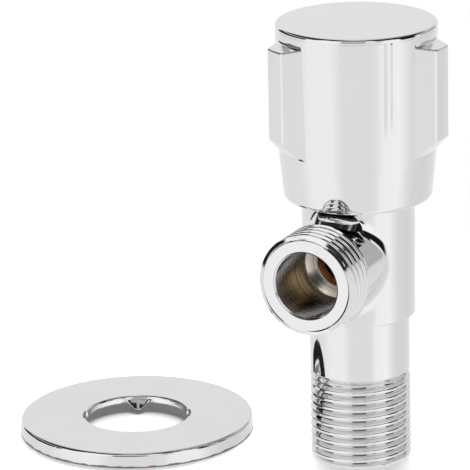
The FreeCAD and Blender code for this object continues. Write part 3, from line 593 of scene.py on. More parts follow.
# ---------------------------------------------------------------- finishes
@dataclass(frozen=True)
class Plating:
    """Polished chrome over brass, zinc or sheet steel: a mirror with a trace of buffing haze.

    Args:
        name: Material name.
        colour: Reflected colour where the polish is clean.
        dull_colour: Reflected colour where the haze lies.
        roughness: Roughness of the clean polish.
        haze_roughness: Roughness added by the haze.
        haze_scale: Clouds per metre.
        burr_and_shade_scale: Rags per metre along the burred cut edge and the painted shade along the foot.
        ridge_height: Height in metres of the mould's parting ridge, 0 for none.
        ridge_bearings: Degrees about Z where the ridge starts, is at its full height, and ends.
        ridge_fade: Heights in metres between which the ridge grows from nothing.
        burr_and_shade_height: How far up the burred cut edge and the painted shade along the foot reach, in
            metres, 0 for none.
        foot_shade_colour: Colour of the painted shade along the sheet's foot, where the burr also lies.
        cut_roughness: Roughness added by the burr.
        groove_shade_radii: Radii in metres about Z between which painted shade in the thread's grooves gives
            way to the bright crests.
        groove_shade_colour: Painted shade at the bottom of the grooves.
    """

    name: str
    colour: Colour = (0.915, 0.915, 0.915)
    dull_colour: Colour = (0.88, 0.88, 0.885)
    roughness: float = 0.02
    haze_roughness: float = 0.045
    haze_scale: float = 140.0
    burr_and_shade_scale: float = 420.0
    ridge_height: float = 0.0
    ridge_bearings: tuple[float, float, float, float] = (-46.5, -43.5, -41.5, -39.5)
    ridge_fade: tuple[float, float] = (0.07, 0.081)
    burr_and_shade_height: float = 0.0
    foot_shade_colour: Colour = (0.22, 0.22, 0.22)
    cut_roughness: float = 0.35
    groove_shade_radii: tuple[float, float] = (0.0, 0.0)
    groove_shade_colour: Colour = (0.76, 0.76, 0.765)

    def ridge(self, sheet: MaterialSheet) -> Socket:
        """Raise the ridge where the mould's halves met, fading out lower down.

        Args:
            sheet: Where the nodes go.

        Returns:
            The bent normal.
        """
        x, y, z = sheet.add("ShaderNodeSeparateXYZ", {0: sheet.place}).outputs
        bearing = sheet.math("MULTIPLY", sheet.math("ARCTAN2", y, x), DEGREES)
        start, crown, crown_end, end = self.ridge_bearings
        up = sheet.share(bearing, start, crown, soft=True)
        down = sheet.share(bearing, end, crown_end, soft=True)
        height = sheet.math("MULTIPLY", sheet.math("MULTIPLY", up, down), sheet.share(z, *self.ridge_fade))
        return sheet.bump(height, 1.0, self.ridge_height)

    def groove_shade_mask(self, sheet: MaterialSheet) -> Socket:
        """Mark where the grooves of a thread about Z get their painted shade.

        Args:
            sheet: Where the nodes go.

        Returns:
            1 at the bottom of the grooves, 0 on the crests.
        """
        flat = sheet.vector("MULTIPLY", sheet.place, (1, 1, 0)).outputs[0]
        deep, shallow = self.groove_shade_radii
        return sheet.share(sheet.vector("LENGTH", flat).outputs["Value"], shallow, deep)

    def burr_and_shade_mask(self, sheet: MaterialSheet) -> Socket:
        """Mark the burred edge where the sheet was sheared, which also carries painted shade along the foot.

        Args:
            sheet: Where the nodes go.

        Returns:
            1 on the burr, 0 on the polish.
        """
        limit = sheet.math("MULTIPLY", sheet.noise(sheet.place, self.burr_and_shade_scale, 4.0), self.burr_and_shade_height * 2)
        below = sheet.math("SUBTRACT", limit, sheet.coordinate(sheet.place, 2))
        return sheet.share(below, 0.0, self.burr_and_shade_height / 3)

    def build(self, effects: SharedEffects) -> bpy.types.Material:
        """Make the material.

        Args:
            effects: The shared node groups.

        Returns:
            The material.
        """
        sheet = MaterialSheet(self.name)
        haze = sheet.effect(effects.haze, Cloud_Scale=self.haze_scale)
        colour = sheet.blend(haze["Cloud"], self.colour, self.dull_colour)
        rough = sheet.math("MULTIPLY_ADD", haze["Cloud"], self.haze_roughness, self.roughness)
        rough = sheet.math("MULTIPLY_ADD", haze["Hairline"], self.haze_roughness, rough)
        # Painted shade: the thread's grooves are darkened towards their bottoms, so that the crests read as
        # bright bands.
        if any(self.groove_shade_radii):
            colour = sheet.blend(self.groove_shade_mask(sheet), colour, self.groove_shade_colour)
        # The burr's mask roughens the sheet's lowest edge and also paints shade along it, standing in for
        # the floor's contact shadow.
        if self.burr_and_shade_height:
            cut = self.burr_and_shade_mask(sheet)
            colour = sheet.blend(cut, colour, self.foot_shade_colour)
            rough = sheet.math("MULTIPLY_ADD", cut, self.cut_roughness, rough)
        return sheet.finish(colour, rough, normal=self.ridge(sheet) if self.ridge_height else None)


@dataclass(frozen=True)
class Turned:
    """Bare or thinly plated metal with the rings of the lathe tool on it.

    Args:
        name: Material name.
        colour: The metal's colour.
        dark_colour: Its colour in the dull rings.
        axis: Which coordinate the rings follow, 0 to 2.
        marks: Rings per metre.
        roughness: Lowest roughness.
        roughness_range: How much the rings add.
        bump: Strength of the rings' relief.
        relief: Height of the rings in metres.
    """

    name: str
    colour: Colour
    dark_colour: Colour
    axis: int = 2
    marks: float = 4200.0
    roughness: float = 0.22
    roughness_range: float = 0.2
    bump: float = 0.12
    relief: float = 0.00004

    def build(self, effects: SharedEffects) -> bpy.types.Material:
        """Make the material.

        Args:
            effects: The shared node groups.

        Returns:
            The material.
        """
        sheet = MaterialSheet(self.name)
        marks = sheet.effect(effects.marks, Along=sheet.coordinate(sheet.place, self.axis),
                             Marks_Per_Metre=self.marks)
        rough = sheet.math("MULTIPLY_ADD", marks["Tone"], self.roughness_range, self.roughness)
        return sheet.finish(sheet.blend(marks["Tone"], self.colour, self.dark_colour), rough,
                            normal=sheet.bump(marks["Height"], self.bump, self.relief))


@dataclass(frozen=True)
class BoreWall:
    """Wall of the outlet's bore: plating that thins out to brass with depth, over the tool's rings.

    Args:
        name: Material name.
        plate: Colour of the plating near the mouth.
        brass: Colour of the bare brass deep down.
        streak: Colour of the dark streaks along the rings.
        mouth: Place of the mouth along Y in metres.
        plated_depth: How far in the plating still covers, in metres.
        bare_depth: How far in it has gone, in metres.
        raggedness: How unevenly it ends, in metres.
        patch_scale: Patches per metre along that end.
        marks: Rings per metre.
        unevenness: Share of the rings that is uneven.
        streak_tones: Tones of the rings between which the streaks set in.
        streak_strength: How strongly the darkest streak shows.
        roughness: Lowest roughness.
        roughness_range: How much the rings add.
        bump: Strength of the rings' relief.
        relief: Height of the rings in metres.
    """

    name: str
    plate: Colour = (0.88, 0.9, 0.92)
    brass: Colour = (0.86, 0.72, 0.56)
    streak: Colour = (0.16, 0.16, 0.165)
    mouth: float = -0.0258
    plated_depth: float = 0.011
    bare_depth: float = 0.0209
    raggedness: float = 0.005
    patch_scale: float = 260.0
    marks: float = 2600.0
    unevenness: float = 0.7
    streak_tones: tuple[float, float] = (0.42, 0.64)
    streak_strength: float = 0.75
    roughness: float = 0.1
    roughness_range: float = 0.25
    bump: float = 0.25
    relief: float = 0.00006

    def build(self, effects: SharedEffects) -> bpy.types.Material:
        """Make the material.

        Args:
            effects: The shared node groups.

        Returns:
            The material.
        """
        sheet = MaterialSheet(self.name)
        along = sheet.coordinate(sheet.place, 1)
        marks = sheet.effect(effects.marks, Along=along, Marks_Per_Metre=self.marks,
                             Unevenness=self.unevenness)
        patches = sheet.noise(sheet.place, self.patch_scale, 3.0)
        depth = sheet.math("SUBTRACT", along, self.mouth)
        depth = sheet.math("MULTIPLY_ADD", patches, self.raggedness, depth)
        bare = sheet.share(depth, self.plated_depth, self.bare_depth, soft=True)
        streak = sheet.share(marks["Tone"], *self.streak_tones, top=self.streak_strength)
        colour = sheet.blend(streak, sheet.blend(bare, self.plate, self.brass), self.streak)
        rough = sheet.math("MULTIPLY_ADD", marks["Tone"], self.roughness_range, self.roughness)
        return sheet.finish(colour, rough, normal=sheet.bump(marks["Height"], self.bump, self.relief))


@dataclass(frozen=True)
class Grained:
    """Cast, moulded or sintered surface with a fine grain.

    Args:
        name: Material name.
        colour: Main colour.
        speck_colour: Colour of the specks.
        metallic: 1 for a metal, 0 for anything else.
        roughness: Main roughness.
        roughness_dip: How much smoother the smoothest grain is.
        roughness_range: From the smoothest grain to the roughest.
        grains: Grains per metre.
        bump: Strength of the grain's relief.
        relief: Height of the grain in metres.
    """

    name: str
    colour: Colour
    speck_colour: Colour
    metallic: float = 0.0
    roughness: float = 0.5
    roughness_dip: float = 0.07
    roughness_range: float = 0.15
    grains: float = 2500.0
    bump: float = 0.15
    relief: float = 0.00003

    def build(self, effects: SharedEffects) -> bpy.types.Material:
        """Make the material.

        Args:
            effects: The shared node groups.

        Returns:
            The material.
        """
        sheet = MaterialSheet(self.name)
        grain = sheet.effect(effects.grains, Grains_Per_Metre=self.grains)
        smoothest = self.roughness - self.roughness_dip
        rough = sheet.math("MULTIPLY_ADD", grain["Height"], self.roughness_range, smoothest)
        colour = sheet.blend(grain["Speck"], self.colour, self.speck_colour)
        normal = sheet.bump(grain["Height"], self.bump, self.relief)
        return sheet.finish(colour, rough, self.metallic, normal)


class Finish(Enum):
    """Every finish on the valve."""

    BODY_CHROME = Plating("body_chrome")
    THREAD_CHROME = Plating("thread_chrome", roughness=0.03)
    INLET_CHROME = Plating("inlet_thread_chrome", roughness=0.04, groove_shade_radii=(0.0098, 0.0102))
    HANDLE_CHROME = Plating("handle_chrome", haze_scale=110.0, ridge_height=0.00028)
    CAP_CHROME = Plating("cap_chrome", haze_scale=90.0, roughness=0.025)
    SHEET = Plating("polished_sheet", (0.9, 0.9, 0.9), (0.85, 0.85, 0.855), 0.04, burr_and_shade_height=0.00045)
    BORE = BoreWall("outlet_bore")
    SHOULDER = Turned("turned_shoulder", (0.93, 0.9, 0.85), (0.72, 0.66, 0.6), axis=1, marks=2600.0)
    PASSAGE = Turned("bare_passage", (0.62, 0.36, 0.17), (0.3, 0.15, 0.07), axis=1, marks=2600.0)
    CASTING = Grained("raw_casting", (0.09, 0.09, 0.092), (0.05, 0.05, 0.05), metallic=1.0, roughness=0.6)
    BRASS = Turned("turned_brass", (0.79, 0.6, 0.33), (0.6, 0.42, 0.2))
    STEEL = Turned("spring_steel", (0.55, 0.55, 0.56), (0.36, 0.36, 0.37), marks=9000.0, bump=0.05)
    CERAMIC = Grained("alumina", (0.86, 0.85, 0.8), (0.8, 0.78, 0.73), roughness=0.3, bump=0.04)
    RUBBER = Grained("seal_rubber", (0.022, 0.022, 0.023), (0.04, 0.04, 0.04), roughness=0.62)
    ACETAL = Grained("white_acetal", (0.82, 0.82, 0.79), (0.75, 0.75, 0.72), roughness=0.42, bump=0.06)


class Wardrobe:
    """Builds each finish once and hands it out."""

    def __init__(self) -> None:
        """Build every finish."""
        effects = SharedEffects()
        self.made = {finish: finish.value.build(effects) for finish in Finish}

    def __getitem__(self, finish: Finish) -> bpy.types.Material:
        """Return the material of a finish."""
        return self.made[finish]


FINISH_OF_SLOT = {
    "chromed_brass": Finish.BODY_CHROME,
    "chromed_handle": Finish.HANDLE_CHROME,
    "chromed_cap": Finish.CAP_CHROME,
    "polished_steel_sheet": Finish.SHEET,
    "brass": Finish.BRASS,
    "alumina": Finish.CERAMIC,
    "seal_rubber": Finish.RUBBER,
    "white_acetal": Finish.ACETAL,
    "spring_steel": Finish.STEEL,
}


# ---------------------------------------------------------------- pipe threads
class ThreadTree:
    """Geometry Nodes tree of one right-handed pipe thread standing on the XY plane.

    The thread runs out at RUN_OUT_SLOPE, its radius against its length. The seam of the grid is welded
    in the tree, and LAST_WELD closes what single precision leaves. Both are in metres.
    """

    SIZES = ("Crest Radius", "Root Radius", "Pitch", "Flank Run", "Truncation", "Rounding",
             "Face Radius", "Lead", "Thread End", "Length")
    RUN_OUT_SLOPE = 2.0
    SHARP_ANGLE = 38
    WELD = 1e-6
    LAST_WELD = 1e-7

    def __init__(self) -> None:
        """Build the tree."""
        self.tree = bpy.data.node_groups.new("pipe_thread", "GeometryNodeTree")
        face = self.tree.interface
        for name in self.SIZES:
            face.new_socket(name, in_out="INPUT", socket_type="NodeSocketFloat")
        for name in ("Segments", "Rows", "Turns"):
            face.new_socket(name, in_out="INPUT", socket_type="NodeSocketInt")
        face.new_socket("Skin", in_out="INPUT", socket_type="NodeSocketMaterial")
        face.new_socket("Geometry", in_out="OUTPUT", socket_type="NodeSocketGeometry")
        sheet = NodeSheet(self.tree)
        self._build(sheet, sheet.add("NodeGroupInput").outputs)

    def _build(self, sheet: NodeSheet, given: bpy.types.NodeOutputs) -> None:
        """Lay a grid along the helix and lift it to the thread's form.

        Args:
            sheet: Where the nodes go.
            given: The tree's inputs.
        """
        columns = sheet.math("ADD", given["Segments"], 1.0)
        rows = sheet.math("ADD", sheet.math("MULTIPLY", given["Rows"], given["Turns"]), 1.0)
        grid = sheet.add("GeometryNodeMeshGrid", {"Size X": 1.0, "Size Y": 1.0,
                                                  "Vertices X": columns, "Vertices Y": rows})
        place = sheet.add("ShaderNodeSeparateXYZ", {0: sheet.add("GeometryNodeInputPosition").outputs[0]})
        round_share = sheet.math("ADD", place.outputs[0], 0.5)
        rise = sheet.math("MULTIPLY", sheet.math("ADD", place.outputs[1], 0.5),
                          sheet.math("MULTIPLY", given["Turns"], given["Pitch"]))
        advance = sheet.math("MULTIPLY", sheet.math("SUBTRACT", round_share, 1.0), given["Pitch"])
        wanted = sheet.math("ADD", rise, advance)
        height = sheet.math("MINIMUM", sheet.math("MAXIMUM", wanted, 0.0), given["Length"])
        phase = sheet.math("DIVIDE", sheet.math("SUBTRACT", height, advance), given["Pitch"])
        share = sheet.math("FRACT", phase)
        off_crest = sheet.math("SUBTRACT", 0.5, sheet.math("ABSOLUTE", sheet.math("SUBTRACT", share, 0.5)))
        drop = sheet.math("DIVIDE", sheet.math("MULTIPLY", off_crest, given["Pitch"]), given["Flank Run"])
        flank = sheet.math("SUBTRACT", sheet.math("ADD", given["Crest Radius"], given["Truncation"]), drop)
        radius = sheet.math("SMOOTH_MIN", flank, given["Crest Radius"], given["Rounding"])
        radius = sheet.math("SMOOTH_MAX", radius, given["Root Radius"], given["Rounding"])
        slope = sheet.math("DIVIDE", sheet.math("SUBTRACT", given["Crest Radius"], given["Face Radius"]),
                           given["Lead"])
        lead = sheet.math("MULTIPLY_ADD", height, slope, given["Face Radius"])
        radius = sheet.math("MINIMUM", radius, lead)
        after_end = sheet.math("SUBTRACT", given["Thread End"], height)
        fall = sheet.math("MAXIMUM", sheet.math("MULTIPLY", after_end, self.RUN_OUT_SLOPE), 0.0)
        radius = sheet.math("MINIMUM", radius, sheet.math("ADD", given["Root Radius"], fall))
        angle = sheet.math("MULTIPLY", round_share, FULL_TURN)
        spot = sheet.add("ShaderNodeCombineXYZ", {
            0: sheet.math("MULTIPLY", radius, sheet.math("COSINE", angle)),
            1: sheet.math("MULTIPLY", radius, sheet.math("SINE", angle)), 2: height})
        moved = sheet.add("GeometryNodeSetPosition", {"Geometry": grid.outputs["Mesh"],
                                                      "Position": spot.outputs[0]})
        welded = sheet.add("GeometryNodeMergeByDistance", {"Geometry": moved.outputs[0],
                                                           "Distance": self.WELD})
        smooth = sheet.add("GeometryNodeSetShadeSmooth", {"Geometry": welded.outputs[0]})
        real = sheet.add("GeometryNodeRealizeInstances", {"Geometry": smooth.outputs[0]})
        dressed = sheet.add("GeometryNodeSetMaterial", {"Geometry": real.outputs[0],
                                                        "Material": given["Skin"]})
        sheet.add("NodeGroupOutput", {"Geometry": dressed.outputs[0]})

    def piece(self, name: str, sizes: dict[str, object], axis: Matrix) -> bpy.types.Object:
        """Grow one thread and bring it to its place.

        Args:
            name: The piece's name.
            sizes: Every input of the tree by name, lengths in metres.
            axis: Takes the tree's Z axis to the thread's own axis.

        Returns:
            The finished piece as a plain mesh.
        """
        host = add_object(name + "_host", bpy.data.meshes.new(name + "_host"))
        modifier = host.modifiers.new("thread", "NODES")
        modifier.node_group = self.tree
        identifiers = {item.name: item.identifier for item in self.tree.interface.items_tree
                       if item.in_out == "INPUT"}
        for socket, value in sizes.items():
            modifier[identifiers[socket]] = value
        bpy.context.view_layer.update()
        graph = bpy.context.evaluated_depsgraph_get()
        mesh = bpy.data.meshes.new_from_object(host.evaluated_get(graph))
        bpy.data.objects.remove(host)
        mesh.name = name
        mesh.transform(axis)
        shape = bmesh.new()
        shape.from_mesh(mesh)
        bmesh.ops.remove_doubles(shape, verts=shape.verts, dist=self.LAST_WELD)
        middle = axis.translation
        wall = max(shape.faces, key=lambda f: (f.calc_center_median() - middle).length)
        out = wall.calc_center_median() - middle
        along = axis.to_3x3() @ Vector((0, 0, 1))
        if wall.normal.dot(out - along * out.dot(along)) < 0:
            bmesh.ops.reverse_faces(shape, faces=shape.faces)
        shape.to_mesh(mesh)
        shape.free()
        mesh.set_sharp_from_angle(angle=math.radians(self.SHARP_ANGLE))
        return add_object(name, mesh)


@dataclass(frozen=True)
class PipeThread:
    """Parallel pipe thread, in millimetres.

    Args:
        crest_radius: Nominal radius over the crests.
        pitch: From one crest to the next.
        depth: From the nominal crests to the roots.
        half_angle: Lean of the flanks in degrees.
        rounding: Rounding at crests and roots.
        crest_widening: How much the plating flattens the crests.
        lead: Length of the lead-in chamfer.
        crest_allowance: How far the real crests stay below the nominal ones.
        segments: Faces round one turn.
        rows: Faces along one pitch.
    """

    crest_radius: float
    pitch: float = 1.814
    depth: float = 1.162
    half_angle: float = 27.5
    rounding: float = 0.12
    crest_widening: float = 0.16
    lead: float = 0.4
    crest_allowance: float = 0.1
    segments: int = 160
    rows: int = 24

    @property
    def root_radius(self) -> float:
        """Radius at the bottom of the grooves."""
        return self.crest_radius - self.depth

    def sizes(self, face_radius: float, turns: int, length: float,
              skin: bpy.types.Material) -> dict[str, object]:
        """Work out the thread tree's inputs.

        Args:
            face_radius: Radius of the end face, inside the lead-in chamfer.
            turns: Grooves along the thread.
            length: From the end face to where the piece stops.
            skin: The material.

        Returns:
            Input names with values, lengths in metres.
        """
        flank_run = math.tan(math.radians(self.half_angle))
        sharp_height = self.pitch / 2 / flank_run
        thread_end = self.lead + turns * self.pitch - self.depth * flank_run
        truncation = (sharp_height - self.depth) / 2 + self.crest_allowance + self.crest_widening
        return {"Crest Radius": (self.crest_radius - self.crest_allowance) * MM,
                "Root Radius": self.root_radius * MM, "Pitch": self.pitch * MM, "Flank Run": flank_run,
                "Truncation": truncation * MM, "Rounding": self.rounding * MM,
                "Face Radius": face_radius * MM, "Lead": self.lead * MM,
                "Thread End": thread_end * MM, "Length": length * MM,
                "Segments": self.segments, "Rows": self.rows,
                "Turns": math.ceil(length / self.pitch) + 1, "Skin": skin}


# ---------------------------------------------------------------- valve body
@dataclass
class ValveBody:
    """Plated body: inlet shank, round body, side outlet and the rounding that joins them.

    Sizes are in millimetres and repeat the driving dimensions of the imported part. The last ones are
    for the shell only: how finely it is faceted and how far its stretches reach into one another.
    """

    thread: PipeThread
    bore_radius: float
    outlet_height: float
    outlet_reach: float
    top: float
    foot: float = 0.0
    inlet_face_bevel: float = 0.6
    outlet_face_bevel: float = 0.91
    inlet_turns: int = 10
    outlet_turns: int = 5
    inlet_thread_length: float = 18.2
    outlet_thread_length: float = 9.6
    shank_radius: float = 10.3
    body_radius: float = 11.56
    body_drop: float = 13.03
    edge_round: float = 0.5
    neck_radius: float = 9.1
    flare_radius: float = 4.4
    mouth_chamfer: float = 0.35
    outlet_bore_depth: float = 14.5
    passage_radius: float = 4.7
    inlet_bore_stop: float = 1.7
    seat_drop: float = 9.13
    seat_radius: float = 4.4
    chamber_radius: float = 7.45
    headwork_radius: float = 8.35
    headwork_start: float = 51.0
    recess_radius: float = 9.115
    recess_depth: float = 1.54
    headwork_bevel: float = 0.6
    shank_round: float = 0.12
    drill_half_angle: float = 59.0
    shoulder_lean: float = 0.1
    shoulder_wear: float = 0.2
    shoulder_round: float = 0.15
    segments: int = 288
    branch_segments: int = 224
    longest_face: float = 0.6
    flare_steps: int = 20
    flare_columns: int = 240
    root_relief: float = 0.02
    end_slope: float = 0.1
    branch_sink: float = 0.35
    neck_slope: float = 0.6
    neck_overlap: float = 0.4
    flare_burial: float = 0.9
    opening_margin: float = 0.3
    halvings: int = 40

    CHROME = 0
    BORE = 1
    BARE = 2
    SHOULDER = 3

    NO_AREA = 1e-14  # cross products this short come from corners that fall together

    @property
    def step(self) -> float:
        """Height of the step between the shank and the round body."""
        return self.outlet_height - self.body_drop

    @property
    def core_radius(self) -> float:
        """Radius of the plain shell that hides just under the threads' roots."""
        return self.thread.root_radius - self.root_relief

    def upright_outline(self) -> list[Corner]:
        """Outline of everything that is turned about the inlet's axis.

        Returns:
            Corners from the inlet's face up the outside and down the waterway.
        """
        root = self.thread.root_radius
        seat = self.outlet_height - self.seat_drop
        bore_end = self.step - self.inlet_bore_stop
        run_out = self.inlet_thread_length
        return [
            Corner(self.bore_radius + self.mouth_chamfer, self.foot),
            Corner(self.core_radius, self.foot), Corner(self.core_radius, run_out - self.end_slope),
            Corner(root, run_out),
            Corner(self.shank_radius, run_out + (self.shank_radius - root) / 2, self.shank_round),
            Corner(self.shank_radius, self.step), Corner(self.body_radius, self.step, self.edge_round),
            Corner(self.body_radius, self.top, self.edge_round),
            Corner(self.recess_radius, self.top, 0, self.BARE),
            Corner(self.recess_radius, self.top - self.recess_depth, 0, self.BARE),
            Corner(self.headwork_radius, self.top - self.recess_depth, 0, self.BARE),
            Corner(self.headwork_radius, self.headwork_start, 0, self.BARE),
            Corner(self.chamber_radius, self.headwork_start - self.headwork_bevel, 0, self.BARE),
            Corner(self.chamber_radius, seat, 0, self.BARE), Corner(self.seat_radius, seat, 0, self.BARE),
            Corner(self.seat_radius, bore_end + (self.bore_radius - self.seat_radius), 0, self.BARE),
            Corner(self.bore_radius, bore_end, 0, self.BARE),
            Corner(self.bore_radius, self.foot + self.mouth_chamfer, 0, self.CHROME),
        ]

    def branch_outline(self) -> list[Corner]:
        """Outline of the side outlet, turned about its own axis, with the mouth at the top.

        Returns:
            Corners from inside the round body out to the mouth and back down the bore.
        """
        reach = self.outlet_reach
        floor = reach - self.outlet_bore_depth
        cone = (self.bore_radius - self.passage_radius) / math.tan(math.radians(self.drill_half_angle))
        thread_start = reach - self.outlet_thread_length
        inner_end = self.chamber_radius - self.branch_sink
        return [
            Corner(self.passage_radius, inner_end, 0, self.CHROME),
            Corner(self.neck_radius - self.neck_slope, inner_end),
            Corner(self.neck_radius, self.neck_end()), Corner(self.neck_radius, thread_start),
            Corner(self.core_radius, thread_start + self.end_slope), Corner(self.core_radius, reach),
            Corner(self.bore_radius + self.mouth_chamfer, reach, 0, self.BORE),
            Corner(self.bore_radius, reach - self.mouth_chamfer, 0, self.BORE),
            Corner(self.bore_radius, floor, 0, self.BORE),
            Corner(self.passage_radius + self.shoulder_wear, floor - cone + self.shoulder_lean,
                   self.shoulder_round, self.SHOULDER),
            Corner(self.passage_radius, floor - cone - self.shoulder_lean, 0, self.BARE),
        ]

    def neck_end(self) -> float:
        """Tell how far from the body's axis the plain neck starts, hidden under the flare.

        Returns:
            That distance in millimetres.
        """
        reach = self.body_radius + self.flare_radius
        side = self.neck_radius + self.flare_radius
        return math.sqrt(reach**2 - side**2) - self.neck_overlap

    def flare_ring(self, angle: float) -> tuple[list[Vector], list[Vector]]:
        """One section of the rounding between the branch and the round body.

        A ball that rolls in the corner touches both cylinders, and the section is the arc between
        the two contacts. It stops at the body's step.

        Args:
            angle: Where it stands round the branch, in radians.

        Returns:
            Points from the branch to the body and the hidden way back, and the rounding's own outward
            normals.
        """
        side = self.neck_radius + self.flare_radius
        reach = self.body_radius + self.flare_radius
        x, z = side * math.cos(angle), self.outlet_height + side * math.sin(angle)
        centre = Vector((x, -math.sqrt(reach**2 - x**2), z))
        to_branch = Vector((-math.cos(angle), 0, -math.sin(angle)))
        to_body = -Vector((centre.x, centre.y, 0)).normalized()
        last = 1.0
        if (centre + to_body * self.flare_radius).z < self.step:
            low, high = 0.0, 1.0
            for _ in range(self.halvings):
                last = (low + high) / 2
                point = centre + turn_between(to_branch, to_body, last) * self.flare_radius
                low, high = (last, high) if point.z > self.step else (low, last)
        points, normals = [], []
        for index in range(self.flare_steps + 1):
            direction = turn_between(to_branch, to_body, last * index / self.flare_steps)
            points.append(centre + direction * self.flare_radius)
            normals.append(-direction)
        end = points[-1]
        outward = Vector((end.x, end.y, 0)).normalized()
        buried = outward * (self.body_radius - self.flare_burial)
        buried.z = max(end.z, self.step)
        inner = -to_branch * (self.neck_radius - self.flare_burial)
        inner += Vector((0, points[0].y, self.outlet_height))
        return [point * MM for point in points + [buried, inner]], normals

    def opened_by_branch(self, point: Vector) -> bool:
        """Say whether a face of the upright shell stands in the branch's way.

        Args:
            point: Middle of the face in metres.

        Returns:
            True where the branch or its waterway passes through.
        """
        off = math.hypot(point.x, point.z - self.outlet_height * MM)
        outside = math.hypot(point.x, point.y) > (self.chamber_radius + self.body_radius) / 2 * MM
        limit = self.neck_radius - self.opening_margin if outside else self.passage_radius
        return point.y < 0 and off < limit * MM

    def flare(self) -> Draft:
        """Lay the rounding's sections round the branch.

        Returns:
            The rounding, closed by three hidden walls.
        """
        draft = Draft()
        rings = [self.flare_ring(angle) for angle in full_circle(self.flare_columns)]
        count = self.flare_steps + 1
        for (points, normals), (next_points, next_normals) in zip(rings, rings[1:]):
            for i in range(count - 1):
                corners = [points[i], points[i + 1], next_points[i + 1], next_points[i]]
                tilts = [normals[i], normals[i + 1], next_normals[i + 1], next_normals[i]]
                draft.face(corners, tilts, self.CHROME)
            for i in range(count - 1, count + 2):
                following = (i + 1) % (count + 2)
                corners = [points[i], points[following], next_points[following], next_points[i]]
                across = (corners[1] - corners[0]).cross(corners[2] - corners[0])
                if across.length < self.NO_AREA:
                    across = (corners[2] - corners[0]).cross(corners[3] - corners[0])
                draft.face(corners, [across.normalized()] * 4, self.CHROME)
        return draft

    def build(self, wardrobe: Wardrobe, tree: ThreadTree) -> list[bpy.types.Object]:
        """Build the body and its two threads.

        Args:
            wardrobe: The finishes.
            tree: The thread's node tree.

        Returns:
            The three pieces.
        """
        branch_axis = sideways(self.outlet_height)
        draft = Draft()
        draft.turned(self.upright_outline(), UPRIGHT, self.segments, self.longest_face)
        draft.remove_where(self.opened_by_branch)
        draft.turned(self.branch_outline(), branch_axis, self.branch_segments)
        draft.join(self.flare())
        shell = draft.piece("body_shell", [wardrobe[Finish.BODY_CHROME], wardrobe[Finish.BORE],
                                           wardrobe[Finish.PASSAGE], wardrobe[Finish.SHOULDER]])
        crest = self.thread.crest_radius
        inlet = tree.piece("inlet_thread_turns", self.thread.sizes(
            crest - self.inlet_face_bevel, self.inlet_turns, self.inlet_thread_length,
            wardrobe[Finish.INLET_CHROME]), UPRIGHT)
        mouth = Matrix.Translation((0, 0, self.outlet_reach * MM))
        outlet = tree.piece("outlet_thread_turns", self.thread.sizes(
            crest - self.outlet_face_bevel, self.outlet_turns, self.outlet_thread_length,
            wardrobe[Finish.THREAD_CHROME]), branch_axis @ mouth @ Matrix.Rotation(math.pi, 4, "X"))
        return [shell, inlet, outlet]


